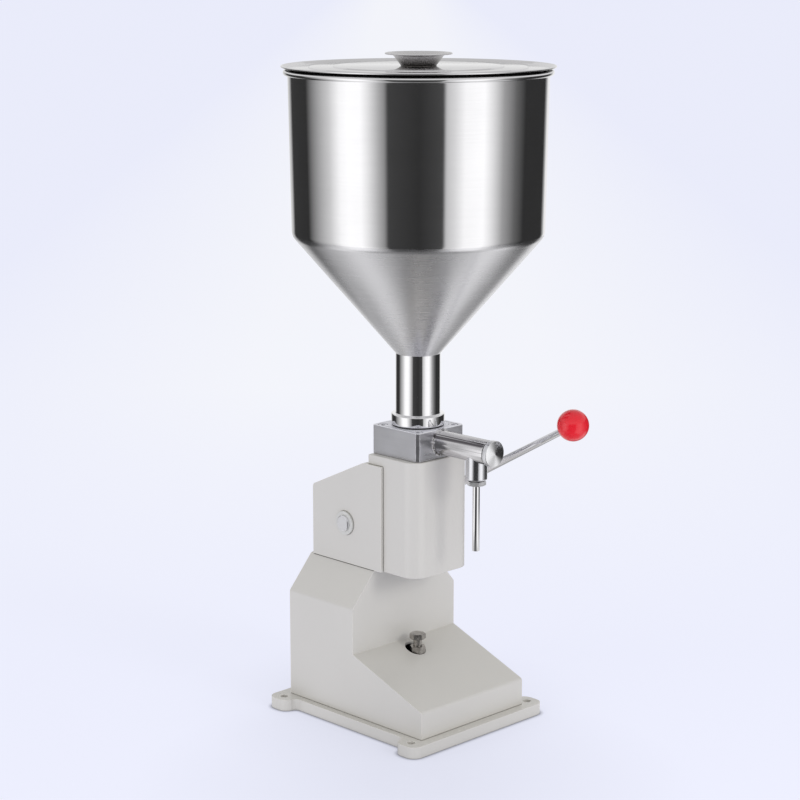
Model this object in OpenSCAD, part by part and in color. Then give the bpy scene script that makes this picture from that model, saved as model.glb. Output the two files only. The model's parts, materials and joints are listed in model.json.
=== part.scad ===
// Manual paste filling machine: a hopper over a piston pump that one lever works.
// The front with the spout looks to -Y, the lever is on the +X side, and +Z is up.
// The origin is the centre of the base's four mounting holes, on its underside.

/* [Base plate] */
// Thickness of the base plate
plate_t = 13; // [8:1:20]
// Depth of the base plate, front to back
plate_depth = 240; // [230:1:280]
// Distance that the base plate stands out past the casing at each side
plate_side_margin = 8.9; // [5:0.1:20]
// Distance that the base plate stands out in front of the casing
plate_front_margin = 12.6; // [6:0.1:25]
// Distance that the base plate stands out behind the casing
plate_rear_margin = 13.4; // [6:0.1:25]
// Distance that each ear stands out past the plate's side
ear_reach = 15.7; // [13:0.1:25]
// Length of each ear along the plate's side
plate_ear_length = 32; // [26:1:45]
// Radius of the ears' corners
plate_corner_r = 12; // [2:1:15]
// Distance of the mounting holes in from the sides of the ears
hole_side_inset = 12; // [8:0.5:14]
// Distance of the mounting holes in from the plate's front and back
hole_end_inset = 16; // [10:0.5:20]
// Diameter of the mounting holes
hole_d = 9; // [5:0.5:12]

/* [Lower casing] */
// Width of the lower casing
casing_width = 162.8; // [150:0.2:168]
// Distance of the casing's top folds in from the housing's sides
casing_top_inset = 1.3; // [0:0.1:4]
// Height of the casing above the plate
casing_height = 163.4; // [150:0.2:180]
// Distance from the casing's flat top down to its shoulders
shoulder_drop = 38.8; // [30:0.2:50]
// Distance of the casing's front wall in front of the column's rear edge
casing_face_lap = 11.8; // [8:0.2:18]
// Height of the apron's lip above the plate
apron_lip_height = 30.9; // [24:0.1:36]
// Rise of the apron from its lip to the front wall
apron_rise = 41; // [36:0.5:46]
// Thickness of the casing's sheet
casing_sheet = 2.5; // [1.5:0.5:4]
// Radius of the casing's bends
casing_bend_r = 5; // [3:0.5:10]
// Radius of the hole in the apron round the stop bolt
apron_hole_r = 12; // [11.5:0.5:14]
// Distance of that hole's middle behind the stop bolt
apron_hole_shift = 3.5; // [2.5:0.1:4]

/* [Rear housing] */
// Thickness of the housing's plate
housing_sheet = 3.75; // [3:0.25:6]
// Distance of the housing's back in front of the casing's back
housing_rear_inset = 4.9; // [4:0.1:12]
// Distance that the housing's cheeks lap over the column's sides
housing_lap = 23.8; // [15:0.1:30]
// Distance from the column's top down to the housing's top
housing_top_drop = 10.8; // [8:0.1:20]
// Fall of the housing's top from its front to its back
housing_fall = 38.4; // [25:0.1:45]
// Distance from the column's rear edge back to where the sloping top starts
housing_knee_reach = 5.6; // [4:0.1:20]

/* [Column] */
// Space between the crank's arms and the column's walls
column_side_space = 3.85; // [2:0.05:12]
// Distance from the cylinder's middle to the front of the column
column_front_reach = 40.2; // [38:0.1:50]
// Distance from the cylinder's middle back to the column's rear edge
column_rear_reach = 33.4; // [30:0.1:38]
// Height of the column above the casing
column_height = 131.8; // [125:0.1:160]
// Wall of the column
column_wall = 4; // [3:0.5:6]
// Radius of the column's two front corners
column_corner_r = 18; // [10:1:22]
// Thickness of the deck that carries the valve block
deck_t = 12; // [9:1:16]

/* [Pump] */
// Place of the cylinder, the hopper and the stop bolt, front to back
pump_y = -20; // [-24:0.5:-16]
// Bore of the cylinder
bore_d = 32; // [26:1:34]
// Wall of the cylinder
cylinder_wall = 5; // [3:0.5:6]
// Travel of the piston
stroke = 62; // [40:1:64]
// Length of the piston
piston_length = 19; // [15:1:20]
// Diameter of the piston rod
rod_d = 14; // [10:1:16]

/* [Lever] */
// Distance from the column's top down to the shaft
shaft_drop = 85.2; // [82:0.1:90]
// Distance of the shaft behind the cylinder's middle
crank_r = 67.5; // [66:0.5:72]
// Diameter of the shaft
shaft_d = 18; // [14:1:20]
// Space between the right bush and the lever's hub
lever_side_space = 1.9; // [1:0.1:10]
// Distance from the shaft to the middle of the ball
lever_length = 273.5; // [240:0.5:320]
// Angle of the lever above the horizontal, with the piston up
lever_rest_angle = 29.2; // [20:0.1:40]
// Diameter of the ball
ball_d = 35; // [30:1:45]
// Diameter of the lever's rod where it leaves its hub
lever_root_d = 11; // [9:0.5:14]
// Diameter of the lever's rod at the ball
lever_tip_d = 7.8; // [6:0.2:9]

/* [Valve block] */
// Width of the valve block
block_width = 73.7; // [70:0.1:80]
// Depth of the valve block
block_depth = 72.7; // [70:0.1:80]
// Height of the valve block
block_height = 32.4; // [30:0.1:40]
// Distance of the block's screws in from its sides
block_screw_inset = 9; // [8:0.1:10]
// Height of the threaded stub that the hopper screws onto
stub_height = 9.4; // [8:0.2:14]

/* [Spout] */
// Diameter of the spout tube
spout_d = 27; // [24:0.5:28]
// Bore of the spout tube
spout_bore = 16; // [12:0.5:17]
// Height of the spout above the block's underside
spout_rise = 17.8; // [16:0.1:18]
// Length of the spout from the block to the middle of its cap's crowned front
spout_length = 81; // [70:0.5:95]
// Distance from the front of the cap back to the outlet's middle
outlet_setback = 27.5; // [23:0.5:32]
// Diameter of the outlet
outlet_d = 24; // [20:0.5:26]
// Distance from the spout's middle down to the outlet's lower end
outlet_drop = 32.8; // [32.5:0.1:40]
// Diameter of the nozzle tube
nozzle_d = 8; // [5:0.5:10]
// Wall of the nozzle tube
nozzle_wall = 1; // [0.5:0.1:1.5]
// Length of the nozzle tube below its nut
nozzle_length = 74.5; // [40:0.5:110]

/* [Hopper] */
// Outer radius of the hopper under its rim
hopper_top_r = 141.4; // [120:0.2:160]
// Outer radius of the hopper where the cone starts
hopper_low_r = 138.4; // [118:0.2:160]
// Height of the hopper's side above the cone, up to the middle of the rim
side_height = 175.5; // [130:0.5:240]
// Height of the cone
cone_height = 132; // [100:1:160]
// Length of the neck from the block to the cone
neck_length = 79.9; // [50:0.1:100]
// Radius of the rounding between the side and the cone
hopper_round_r = 14; // [6:1:20]
// Radius of the rolled rim's own section
hopper_bead_r = 3.2; // [2:0.1:4]
// Thickness of the hopper's sheet
hopper_sheet = 1.5; // [1:0.1:2.5]
// Outer radius of the neck tube
neck_r = 25; // [22:0.5:27]
// Wall of the neck tube
neck_wall = 2; // [1.5:0.1:3]
// Outer radius of the collar at the neck's foot
collar_r = 29.9; // [29:0.1:32]
// Height of the collar
collar_height = 12.2; // [11.6:0.1:16]

/* [Lid] */
// Distance that the lid reaches out past the hopper's rim
lid_overhang = 2.4; // [0.5:0.1:12]
// Thickness of the lid's sheet
lid_sheet = 1.2; // [0.8:0.1:2]
// Radius of the lid's rolled edge
lid_bead_r = 1.9; // [1.2:0.1:2.5]
// Rise of the lid's middle
lid_rise = 2; // [1:0.2:8]
// Radius of the knob's dished top
knob_r = 36.5; // [28:0.5:42]
// Radius of the knob's foot
knob_foot_r = 19.4; // [15:0.1:22]
// Height of the knob above the lid
knob_height = 14; // [12:0.2:25]

/* [Stop bolt] */
// Distance from the post up to the underside of the bolt's head
bolt_stand_off = 16.3; // [12:0.1:22]
// Thread of the stop bolt
bolt_d = 10; // [8:1:10]
// Hexagon of the stop bolt and its nut, across flats
bolt_flats = 16; // [14:0.5:18]
// Height of the bolt's head
bolt_head_t = 6.4; // [5:0.1:8]
// Length of the bolt under its head
bolt_length = 45; // [35:1:55]
// Height of the lock nut
lock_nut_t = 8; // [5:0.5:9]
// Height of the post that the bolt screws into
post_height = 61; // [58:0.5:64]
// Radius of the post
post_r = 11; // [9:0.5:12]

/* [Hidden] */
$fn = 64;

// One overrun for every cut
over = 1;
// Steps in each rounded corner of an outline
corner_steps = 6;
// Gap between faces that must not touch
gap = 0.3;
// Running clearance on the radius of what slides or turns
running = 0.05;
// Chamfer on the ends of turned pieces
chamfer = 1;

// Colours of the finishes
paint = [0.79, 0.78, 0.77];
steel = [0.78, 0.79, 0.80];
machined = [0.66, 0.67, 0.69];
dark_steel = [0.42, 0.42, 0.44];
bronze = [0.72, 0.55, 0.32];
black_rubber = [0.08, 0.08, 0.09];
white_seal = [0.93, 0.93, 0.90];
red = [0.86, 0.08, 0.13];

// Fasteners: shank radius, head radius, head height
screw_r = 2.5;
screw_head_r = 4.3;
screw_head_t = 3;
screw_clearance = 0.3;
cap_screw_r = 3;
cap_screw_head_r = 5;
cap_screw_head_t = 6;
socket_depth_share = 0.5;
socket_width_share = 0.55;

// Casing: its flange under the walls and the screws that hold it down
flange_t = 2.5;
flange_w = 16;
casing_nut_t = 4;
casing_nut_flats = 8;
casing_screw_inset = 8;
casing_screw_margin = 36;
lip_bend_r = 4;

// Plate: the radius inside its ears
plate_inner_r = 6;

// Post of the stop bolt
post_thread_depth = 40;
post_neck_wall = 2.5;
post_neck_height = 7;
post_screw_r = 4;
post_screw_depth = 12;
post_screw_head_r = 8;
post_screw_head_t = 4;
tip_chamfer = 1.5;
hex_chamfer = 0.6;

// Housing: its foot, its bosses and the bushes
foot_t = 4;
foot_w = 14;
housing_screw_inset = 8;
housing_screw_margin = 22;
housing_bend_r = 5;
boss_wall = 5;
boss_t = 6;
bush_wall = 3;
bush_flange_w = 1.7;
bush_flange_t = 2.5;
shaft_end = 2.4;

// Cylinder: flange, seal, and the gaps at both ends of the stroke
cylinder_flange_w = 6;
cylinder_flange_t = 5;
seal_r = 0.9;
head_gap = 4.2;
foot_gap = 1;
guide_length = 10;

// Piston: seal grooves and screw
piston_seal_w = 3;
piston_seal_depth = 2.2;
piston_seal_inset = 4;
piston_screw_r = 4;
piston_screw_head_r = 7;
piston_screw_head_t = 5;
piston_screw_depth = 14;

// Yoke: what the crank's pins push up and down
yoke_clearance = 3;
yoke_plate_t = 6;
yoke_bridge_t = 12;
yoke_bridge_gap = 4;
yoke_margin = 5;
slot_gap = 0.6;
slot_end_gap = 1;
rod_shoulder = 1;
rod_nut_t = 8;
rod_nut_flats = 18;
stop_gap = 3.3;

// Crank: a fork with a pin in each arm
crank_hub_wall = 6;
crank_arm_t = 5;
crank_arm_gap = 2;
crank_eye_r = 10;
pin_r = 6;
pin_head_r = 8;
pin_head_t = 1.3;
pin_stem_r = 4.5;
key_w = 6;
key_h = 6;
key_length = 24;
ring_t = 1.2;
ring_w = 3.5;
ring_groove = 1;

// Lever hub
hub_wall = 7;
hub_length = 24;
hub_boss_r = 9;
hub_boss_length = 34;
hub_rod_depth = 16;
hub_washer_t = 2;
hub_washer_r = 12;
hub_bolt_r = 4;
hub_bolt_depth = 16;
hub_bolt_head_t = 5.3;
hub_bolt_flats = 13;
set_screw_r = 3;
set_screw_length = 7;
ball_hole_depth = 12;
ball_flat_r = 7;

// Valve block: stub, chamber, seat, guide and screw recesses
collar_wall = 3.9;
stub_wall = 7;
chamber_step = 1;
seat_t = 5;
seat_hole_r = 9;
guide_lap = 1;
guide_t = 3;
guide_hole_r = 3.2;
guide_hole_ring_r = 10.8;
guide_holes = 6;
block_edge = 3.2;
recess_r = 5.6;
recess_depth = 6.6;
block_screw_length = 36;
gasket_t = 1.5;
gasket_lip = 0.9;
inlet_ball_r = 11;
inlet_spring_r = 7.2;
inlet_wire_r = 0.7;
ball_gap = 0.2;

// Spout: cap, weld, outlet and nozzle
cap_t = 6;
cap_proud = 1.1;
cap_edge_r = 1;
cap_crown = 1.2;
cap_spigot_wall = 2;
cap_spigot_length = 8;
cap_seal_t = 0.8;
cap_seal_inset = 1;
weld_r = 1.6;
outlet_seat_drop = 2.5;
outlet_passage_r = 5;
outlet_wall = 3.5;
outlet_ball_r = 6;
outlet_spring_r = 4.6;
outlet_wire_r = 0.5;
nozzle_seal_t = 1;
nozzle_seal_w = 1.1;
nozzle_nut_t = 5;
nozzle_nut_flats = 19;
nozzle_shank_length = 3;
nozzle_tube_inset = 1;
nozzle_shoulder = 0.3;

// Hopper: where the side is welded to the cone's rounded shoulder
seam_rise = 16;

// Lid: two pressed steps and the skirt
lid_inner_step_share = 0.67;
lid_outer_step_share = 0.86;
lid_step_w = 2;
lid_skirt_gap = 1.2;
lid_skirt_depth = 8;
knob_rim_r = 0.9;
knob_neck_share = 0.74;
knob_dish = 3.5;
knob_dish_foot_share = 0.6;
knob_screw_r = 3;
knob_screw_depth = 7;
knob_screw_head_r = 6;
knob_screw_head_t = 3.5;

// Places that follow from the sizes above
plate_width = casing_width + 2 * plate_side_margin;
plate_ear_width = plate_width + 2 * ear_reach;
hole_spacing_x = plate_ear_width - 2 * hole_side_inset;
hole_spacing_y = plate_depth - 2 * hole_end_inset;
apron_front_y = plate_front_margin - plate_depth / 2;
casing_rear_y = plate_depth / 2 - plate_rear_margin;
column_front_y = pump_y - column_front_reach;
column_rear_y = pump_y + column_rear_reach;
casing_face_y = column_rear_y - casing_face_lap;
housing_front_y = column_rear_y - housing_lap;
housing_rear_y = casing_rear_y - housing_rear_inset;
housing_knee_y = column_rear_y + housing_knee_reach;
shaft_y = pump_y + crank_r;
casing_top_z = plate_t + casing_height;
casing_shoulder_z = casing_top_z - shoulder_drop;
apron_lip_z = plate_t + apron_lip_height;
apron_rear_z = apron_lip_z + apron_rise;
column_top_z = casing_top_z + column_height;
housing_top_z = column_top_z - housing_top_drop;
housing_rear_z = housing_top_z - housing_fall;
shaft_z = column_top_z - shaft_drop;
post_top_z = plate_t + post_height;
post_neck_r = bolt_d / 2 + post_neck_wall;
bolt_top_z = post_top_z + bolt_stand_off + bolt_head_t;
block_z = column_top_z;
block_top_z = block_z + block_height;
block_front_y = pump_y - block_depth / 2;
stub_top_z = block_top_z + stub_height;
bore_r = bore_d / 2;
cylinder_r = bore_r + cylinder_wall;
cylinder_flange_r = cylinder_r + cylinder_flange_w;
rod_thread_d = rod_d - 2 * rod_shoulder;
piston_top_z = block_z - head_gap;
piston_low_z = piston_top_z - piston_length;
cylinder_low_z = piston_low_z - stroke - foot_gap - guide_length;
bridge_top_z = cylinder_low_z - yoke_bridge_gap;
bridge_low_z = bridge_top_z - yoke_bridge_t;
rod_end_z = bolt_top_z + stop_gap + stroke;
crank_half_swing = asin(stroke / 2 / crank_r);
swing = 2 * crank_half_swing;
slot_z = shaft_z + stroke / 2;
pin_drift = crank_r * (1 - cos(crank_half_swing));
slot_half_height = pin_r + slot_gap;
slot_low_y = pump_y - pin_r - slot_end_gap;
slot_high_y = pump_y + pin_drift + pin_r + slot_end_gap;
yoke_inner_x = cylinder_r + yoke_clearance;
yoke_outer_x = yoke_inner_x + yoke_plate_t;
yoke_low_y = slot_low_y - yoke_margin;
yoke_high_y = slot_high_y + yoke_margin;
arm_inner_x = yoke_outer_x + crank_arm_gap;
arm_outer_x = arm_inner_x + crank_arm_t;
column_width = 2 * (arm_outer_x + column_side_space + column_wall);
housing_width = column_width + 2 * housing_sheet;
casing_top_width = housing_width - 2 * casing_top_inset;
shaft_r = shaft_d / 2;
bush_r = shaft_r + bush_wall;
bush_flange_r = bush_r + bush_flange_w;
boss_r = bush_r + boss_wall;
crank_hub_r = shaft_r + crank_hub_wall;
ring_r = shaft_r + ring_w;
hub_r = shaft_r + hub_wall;
boss_inner_x = column_width / 2 - boss_t;
shaft_left_x = -housing_width / 2 - bush_flange_t - shaft_end;
hub_inner_x = housing_width / 2 + bush_flange_t + lever_side_space;
hub_outer_x = hub_inner_x + hub_length;
lever_x = hub_inner_x + hub_length / 2;
spout_z = block_z + spout_rise;
spout_r = spout_d / 2;
spout_front_y = block_front_y - spout_length;
outlet_y = spout_front_y + outlet_setback;
outlet_z = spout_z - outlet_drop;
cap_spigot_r = spout_bore / 2 + cap_spigot_wall;
outlet_chamber_r = outlet_d / 2 - outlet_wall;
nozzle_seal_r = outlet_chamber_r + nozzle_seal_w;
cap_back_y = spout_front_y + cap_t;
tube_front_y = cap_back_y + cap_seal_t;
outlet_seat_z = spout_z - spout_r - outlet_seat_drop;
outlet_ball_z = outlet_seat_z - sqrt(outlet_ball_r ^ 2 - outlet_passage_r ^ 2) - ball_gap;
nut_top_z = outlet_z - nozzle_seal_t;
nut_low_z = nut_top_z - nozzle_nut_t;
nozzle_z = nut_low_z - nozzle_length;
shank_top_z = outlet_z + nozzle_shank_length;
nozzle_root_r = nozzle_d / 2 - nozzle_shoulder;
stub_r = collar_r - collar_wall;
chamber_r = bore_r - chamber_step;
guide_r = bore_r + guide_lap;
seat_r = stub_r - stub_wall;
seat_z = stub_top_z - seat_t;
inlet_ball_z = seat_z - sqrt(inlet_ball_r ^ 2 - seat_hole_r ^ 2) - ball_gap;
collar_z = block_top_z + gasket_t;
cone_low_z = collar_z + neck_length;
cone_top_z = cone_low_z + cone_height;
hopper_rim_z = cone_top_z + side_height;
seam_z = cone_top_z + seam_rise;
neck_bore_r = neck_r - neck_wall;
hopper_mouth_r = hopper_top_r - hopper_sheet;
rim_top_z = hopper_rim_z + hopper_bead_r;
lid_r = hopper_mouth_r + 2 * hopper_bead_r + lid_overhang;
lid_z = rim_top_z + gap;
lid_top_z = lid_z + lid_rise + lid_sheet;
knob_top_z = lid_top_z + knob_height;
hole_place = [for (x = [-1, 1], y = [-1, 1]) [x * hole_spacing_x / 2, y * hole_spacing_y / 2]];
casing_screw_x = casing_width / 2 - casing_screw_inset;
casing_screw_y = [apron_front_y + casing_screw_margin, casing_rear_y - casing_screw_margin];
casing_screw_place = [for (x = [-1, 1], y = casing_screw_y) [x * casing_screw_x, y]];
housing_screw_x = column_width / 2 - housing_screw_inset;
housing_screw_y = [column_rear_y + housing_screw_margin / 2, housing_rear_y - housing_screw_margin];
housing_screw_place = [for (x = [-1, 1], y = housing_screw_y) [x * housing_screw_x, y]];
block_screw_x = block_width / 2 - block_screw_inset;
block_screw_y = block_depth / 2 - block_screw_inset;
block_screw_place = [for (x = [-1, 1], y = [-1, 1]) [x * block_screw_x, pump_y + y * block_screw_y]];

// Outlines: points run anticlockwise
function unit(v) = v / norm(v);
function meet(p, u, q, v) = p + u * cross(q - p, v) / cross(u, v);
function inward(a, b) = let (u = unit(b - a)) [-u.y, u.x];
function inset(points, d) = let (n = len(points)) [for (i = [0 : n - 1])
    let (a = points[(i + n - 1) % n], p = points[i], b = points[(i + 1) % n])
    meet(p + inward(a, p) * d, p - a, p + inward(p, b) * d, b - p)];

// A corner of an outline rounded with an arc, and a whole outline with one radius per corner
function arc_turn(from, to) = let (d = to - from) d > 180 ? d - 360 : d < -180 ? d + 360 : d;
function corner(a, p, b, r) = r == 0 ? [p] :
    let (u = unit(a - p), v = unit(b - p), half = acos(u * v) / 2,
        c = p + unit(u + v) * r / sin(half), s = p + u * r / tan(half) - c,
        e = p + v * r / tan(half) - c, first = atan2(s.y, s.x),
        turn = arc_turn(first, atan2(e.y, e.x)))
    [for (i = [0 : corner_steps])
        c + r * [cos(first + turn * i / corner_steps), sin(first + turn * i / corner_steps)]];
function rounded(points, radii) = let (n = len(points)) [for (i = [0 : n - 1])
    each corner(points[(i + n - 1) % n], points[i], points[(i + 1) % n], radii[i])];

// An outline in X and Z pushed along Y, and one in Y and Z centred on X
module along_y(y0, y1) {
    translate([0, y1, 0]) rotate([90, 0, 0]) linear_extrude(y1 - y0) children();
}
module along_x(width) {
    rotate([90, 0, 90]) linear_extrude(width, center = true) children();
}

// Round pieces that lie along X or Y
module rod_x(x0, x1, r) {
    translate([x0, 0, 0]) rotate([0, 90, 0]) cylinder(h = x1 - x0, r = r);
}
module rod_y(y0, y1, r) {
    translate([0, y1, 0]) rotate([90, 0, 0]) cylinder(h = y1 - y0, r = r);
}
module round_bar(z0, z1, r) {
    translate([0, 0, z0]) cylinder(h = z1 - z0, r = r);
}
module tube_z(z0, z1, outer, inner) {
    translate([0, 0, z0]) difference() {
        cylinder(h = z1 - z0, r = outer);
        translate([0, 0, -over]) cylinder(h = z1 - z0 + 2 * over, r = inner);
    }
}

// A hexagon with its top and bottom corners turned off
module hexagon(flats, height) {
    across = flats / cos(30);
    intersection() {
        cylinder(h = height, d = across, $fn = 6);
        rotate_extrude() polygon([[0, 0], [flats / 2, 0], [across / 2, hex_chamfer],
            [across / 2, height - hex_chamfer], [flats / 2, height], [0, height]]);
    }
}

// A screw that points down from z = 0, with a round socket head above it
module socket_screw(r, length, head_r, head_t) {
    translate([0, 0, -length]) cylinder(h = length, r = r);
    difference() {
        cylinder(h = head_t, r = head_r);
        translate([0, 0, head_t * (1 - socket_depth_share)])
            cylinder(h = head_t, r = head_r * socket_width_share, $fn = 6);
    }
}

// A screw that points up, with a sunk head whose flat face is at z = 0
module sunk_screw(r, length, head_r, head_t) {
    difference() {
        union() {
            cylinder(h = length, r = r);
            cylinder(h = head_t, r1 = head_r, r2 = r);
        }
        translate([0, 0, -over])
            cylinder(h = over + head_t * socket_depth_share, r = r * socket_width_share, $fn = 6);
    }
}

// Base: a thick plate with four ears
module plate_outline() {
    e = plate_ear_width / 2;
    w = plate_width / 2;
    d = plate_depth / 2;
    n = d - plate_ear_length;
    polygon(rounded(
        [[e, -d], [e, -n], [w, -n], [w, n], [e, n], [e, d],
            [-e, d], [-e, n], [-w, n], [-w, -n], [-e, -n], [-e, -d]],
        [for (i = [0 : 11]) i % 6 == 2 || i % 6 == 3 ? plate_inner_r : plate_corner_r]));
}

module base_plate() {
    color(paint) difference() {
        linear_extrude(plate_t) plate_outline();
        for (p = hole_place) translate([p.x, p.y, -over])
            cylinder(h = plate_t + 2 * over, d = hole_d);
        for (p = casing_screw_place) translate(p) sunk_hole(screw_r, screw_head_r, screw_head_t);
        translate([0, pump_y, 0]) sunk_hole(post_screw_r, post_screw_head_r, post_screw_head_t);
    }
}

module sunk_hole(r, head_r, head_t) {
    translate([0, 0, -over]) cylinder(h = plate_t + 2 * over, r = r + screw_clearance);
    cylinder(h = head_t, r1 = head_r, r2 = r);
    translate([0, 0, -over]) cylinder(h = over, r = head_r);
}

// Lower casing: a folded shell, house shaped at the back, with a sloping apron in front
function house_points(low) = let (w = casing_width / 2, t = casing_top_width / 2)
    [[w, low], [w, casing_shoulder_z], [t, casing_top_z],
        [-t, casing_top_z], [-w, casing_shoulder_z], [-w, low]];
function apron_points(low, rear_y) =
    let (slope = (apron_rear_z - apron_lip_z) / (casing_face_y - apron_front_y))
    [[apron_front_y, low], [rear_y, low],
        [rear_y, apron_rear_z + slope * (rear_y - casing_face_y)], [apron_front_y, apron_lip_z]];

module casing_outside() {
    along_y(casing_face_y, casing_rear_y) polygon(rounded(house_points(plate_t),
        [0, casing_bend_r, casing_bend_r, casing_bend_r, casing_bend_r, 0]));
    along_x(casing_width) polygon(rounded(apron_points(plate_t, casing_face_y + casing_sheet),
        [0, 0, 0, lip_bend_r]));
}

module casing_inside() {
    floor_z = plate_t + flange_t - casing_sheet;
    inner_r = casing_bend_r - casing_sheet / 2;
    along_y(casing_face_y + casing_sheet, casing_rear_y - casing_sheet)
        polygon(rounded(inset(house_points(floor_z), casing_sheet),
            [0, inner_r, inner_r, inner_r, inner_r, 0]));
    along_x(casing_width - 2 * casing_sheet)
        polygon(inset(apron_points(floor_z, casing_face_y + 3 * casing_sheet), casing_sheet));
}

module lower_casing() {
    inner_half = casing_width / 2 - flange_w;
    color(paint) difference() {
        casing_outside();
        casing_inside();
        translate([-inner_half, apron_front_y + flange_w, plate_t - over])
            cube([2 * inner_half, casing_rear_y - apron_front_y - 2 * flange_w, flange_t + 2 * over]);
        for (p = casing_screw_place) translate([p.x, p.y, plate_t - over])
            cylinder(h = flange_t + 2 * over, r = screw_r + screw_clearance);
        for (p = housing_screw_place) translate([p.x, p.y, casing_top_z - casing_sheet - over])
            cylinder(h = casing_sheet + 2 * over, r = screw_r + screw_clearance);
        translate([0, pump_y + apron_hole_shift, apron_lip_z])
            cylinder(h = apron_rise, r = apron_hole_r);
    }
}

module casing_screws() {
    length = plate_t + flange_t + casing_nut_t + chamfer;
    color(dark_steel) for (p = casing_screw_place) translate(p)
        sunk_screw(screw_r, length, screw_head_r, screw_head_t);
}

module casing_nuts() {
    color(dark_steel) for (p = casing_screw_place) translate([p.x, p.y, plate_t + flange_t])
        difference() {
            hexagon(casing_nut_flats, casing_nut_t);
            translate([0, 0, -over]) cylinder(h = casing_nut_t + 2 * over, r = screw_r);
        }
}

// Stop: a post under the apron, its bolt and the bolt's lock nut
module stop_post() {
    shoulder = post_height - post_neck_height;
    color(dark_steel) translate([0, pump_y, plate_t]) difference() {
        union() {
            cylinder(h = shoulder - chamfer, r = post_r);
            translate([0, 0, shoulder - chamfer]) cylinder(h = chamfer, r1 = post_r, r2 = post_r - chamfer);
            cylinder(h = post_height, r = post_neck_r);
        }
        translate([0, 0, post_height - post_thread_depth])
            cylinder(h = post_thread_depth + over, r = bolt_d / 2 + running);
        translate([0, 0, -over]) cylinder(h = post_screw_depth + over, r = post_screw_r);
    }
}

module post_screw() {
    color(dark_steel) translate([0, pump_y, 0])
        sunk_screw(post_screw_r, plate_t + post_screw_depth - chamfer,
            post_screw_head_r, post_screw_head_t);
}

module adjusting_bolt() {
    color(dark_steel) translate([0, pump_y, bolt_top_z - bolt_head_t]) {
        rotate([0, 0, 15]) hexagon(bolt_flats, bolt_head_t);
        translate([0, 0, tip_chamfer - bolt_length]) cylinder(h = bolt_length - tip_chamfer, d = bolt_d);
        translate([0, 0, -bolt_length])
            cylinder(h = tip_chamfer, d1 = bolt_d - 2 * tip_chamfer, d2 = bolt_d);
    }
}

module lock_nut() {
    color(dark_steel) translate([0, pump_y, post_top_z]) difference() {
        hexagon(bolt_flats, lock_nut_t);
        translate([0, 0, -over]) cylinder(h = lock_nut_t + 2 * over, r = bolt_d / 2 + running);
    }
}

// Rear housing: a folded plate that carries the shaft in two bosses
function housing_points() = [[housing_front_y, casing_top_z], [housing_rear_y, casing_top_z],
    [housing_rear_y, housing_rear_z], [housing_knee_y, housing_top_z],
    [housing_front_y, housing_top_z]];

module column_envelope() {
    translate([-column_width / 2, column_front_y - over, casing_top_z - over])
        cube([column_width, column_rear_y - column_front_y + over, column_top_z - casing_top_z + over]);
}

module housing_space() {
    wide = over + housing_sheet;
    along_x(column_width) polygon(inset([
        [housing_front_y - wide, casing_top_z + foot_t - housing_sheet],
        [housing_rear_y, casing_top_z + foot_t - housing_sheet],
        [housing_rear_y, housing_rear_z], [housing_knee_y, housing_top_z],
        [housing_front_y - wide, housing_top_z]], housing_sheet));
    foot_half = column_width / 2 - foot_w;
    translate([-foot_half, column_rear_y, casing_top_z - over])
        cube([2 * foot_half, housing_rear_y - housing_sheet - foot_w - column_rear_y, foot_t + 2 * over]);
}

module rear_housing() {
    color(paint) difference() {
        union() {
            difference() {
                along_x(housing_width)
                    polygon(rounded(housing_points(), [0, 0, housing_bend_r, housing_bend_r, 0]));
                housing_space();
                column_envelope();
            }
            for (side = [0, 180]) translate([0, shaft_y, shaft_z]) rotate([0, side, 0])
                rod_x(boss_inner_x, column_width / 2 + housing_sheet / 2, boss_r);
        }
        translate([0, shaft_y, shaft_z]) rod_x(-housing_width, housing_width, bush_r);
        for (p = housing_screw_place) translate([p.x, p.y, casing_top_z - over])
            cylinder(h = foot_t + 2 * over, r = screw_r);
    }
}

module housing_screws() {
    color(dark_steel) for (p = housing_screw_place)
        translate([p.x, p.y, casing_top_z - casing_sheet]) rotate([180, 0, 0])
            socket_screw(screw_r, casing_sheet + foot_t, screw_head_r, screw_head_t);
}

module bush() {
    color(white_seal) translate([0, shaft_y, shaft_z]) difference() {
        union() {
            rod_x(boss_inner_x, housing_width / 2, bush_r);
            rod_x(housing_width / 2, housing_width / 2 + bush_flange_t, bush_flange_r);
        }
        rod_x(boss_inner_x - over, housing_width / 2 + bush_flange_t + over, shaft_r + running);
    }
}

module right_bush() bush();
module left_bush() mirror([1, 0, 0]) bush();

// Column: a channel open at the back and below, with a deck on top
module column_outline(width, front, r) {
    for (x = [-1, 1]) translate([x * (width / 2 - r), front + r]) circle(r);
    translate([r - width / 2, front]) square([width - 2 * r, 2 * r]);
    translate([-width / 2, front + r]) square([width, column_rear_y - front - r]);
}

module column() {
    deck_z = column_top_z - deck_t;
    color(paint) difference() {
        translate([0, 0, casing_top_z]) linear_extrude(column_top_z - casing_top_z)
            column_outline(column_width, column_front_y, column_corner_r);
        translate([0, 0, casing_top_z - over]) linear_extrude(deck_z - casing_top_z + over)
            column_outline(column_width - 2 * column_wall, column_front_y + column_wall,
                column_corner_r - column_wall);
        translate([column_wall - column_width / 2, column_rear_y - over, casing_top_z - over])
            cube([column_width - 2 * column_wall, 2 * over, deck_z - casing_top_z + over]);
        translate([0, pump_y, deck_z - over]) cylinder(h = deck_t + 2 * over, r = cylinder_r);
        translate([0, pump_y, column_top_z - cylinder_flange_t])
            cylinder(h = cylinder_flange_t + over, r = cylinder_flange_r);
        for (p = block_screw_place) translate([p.x, p.y, deck_z - over])
            cylinder(h = deck_t + 2 * over, r = cap_screw_r);
    }
}

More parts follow.
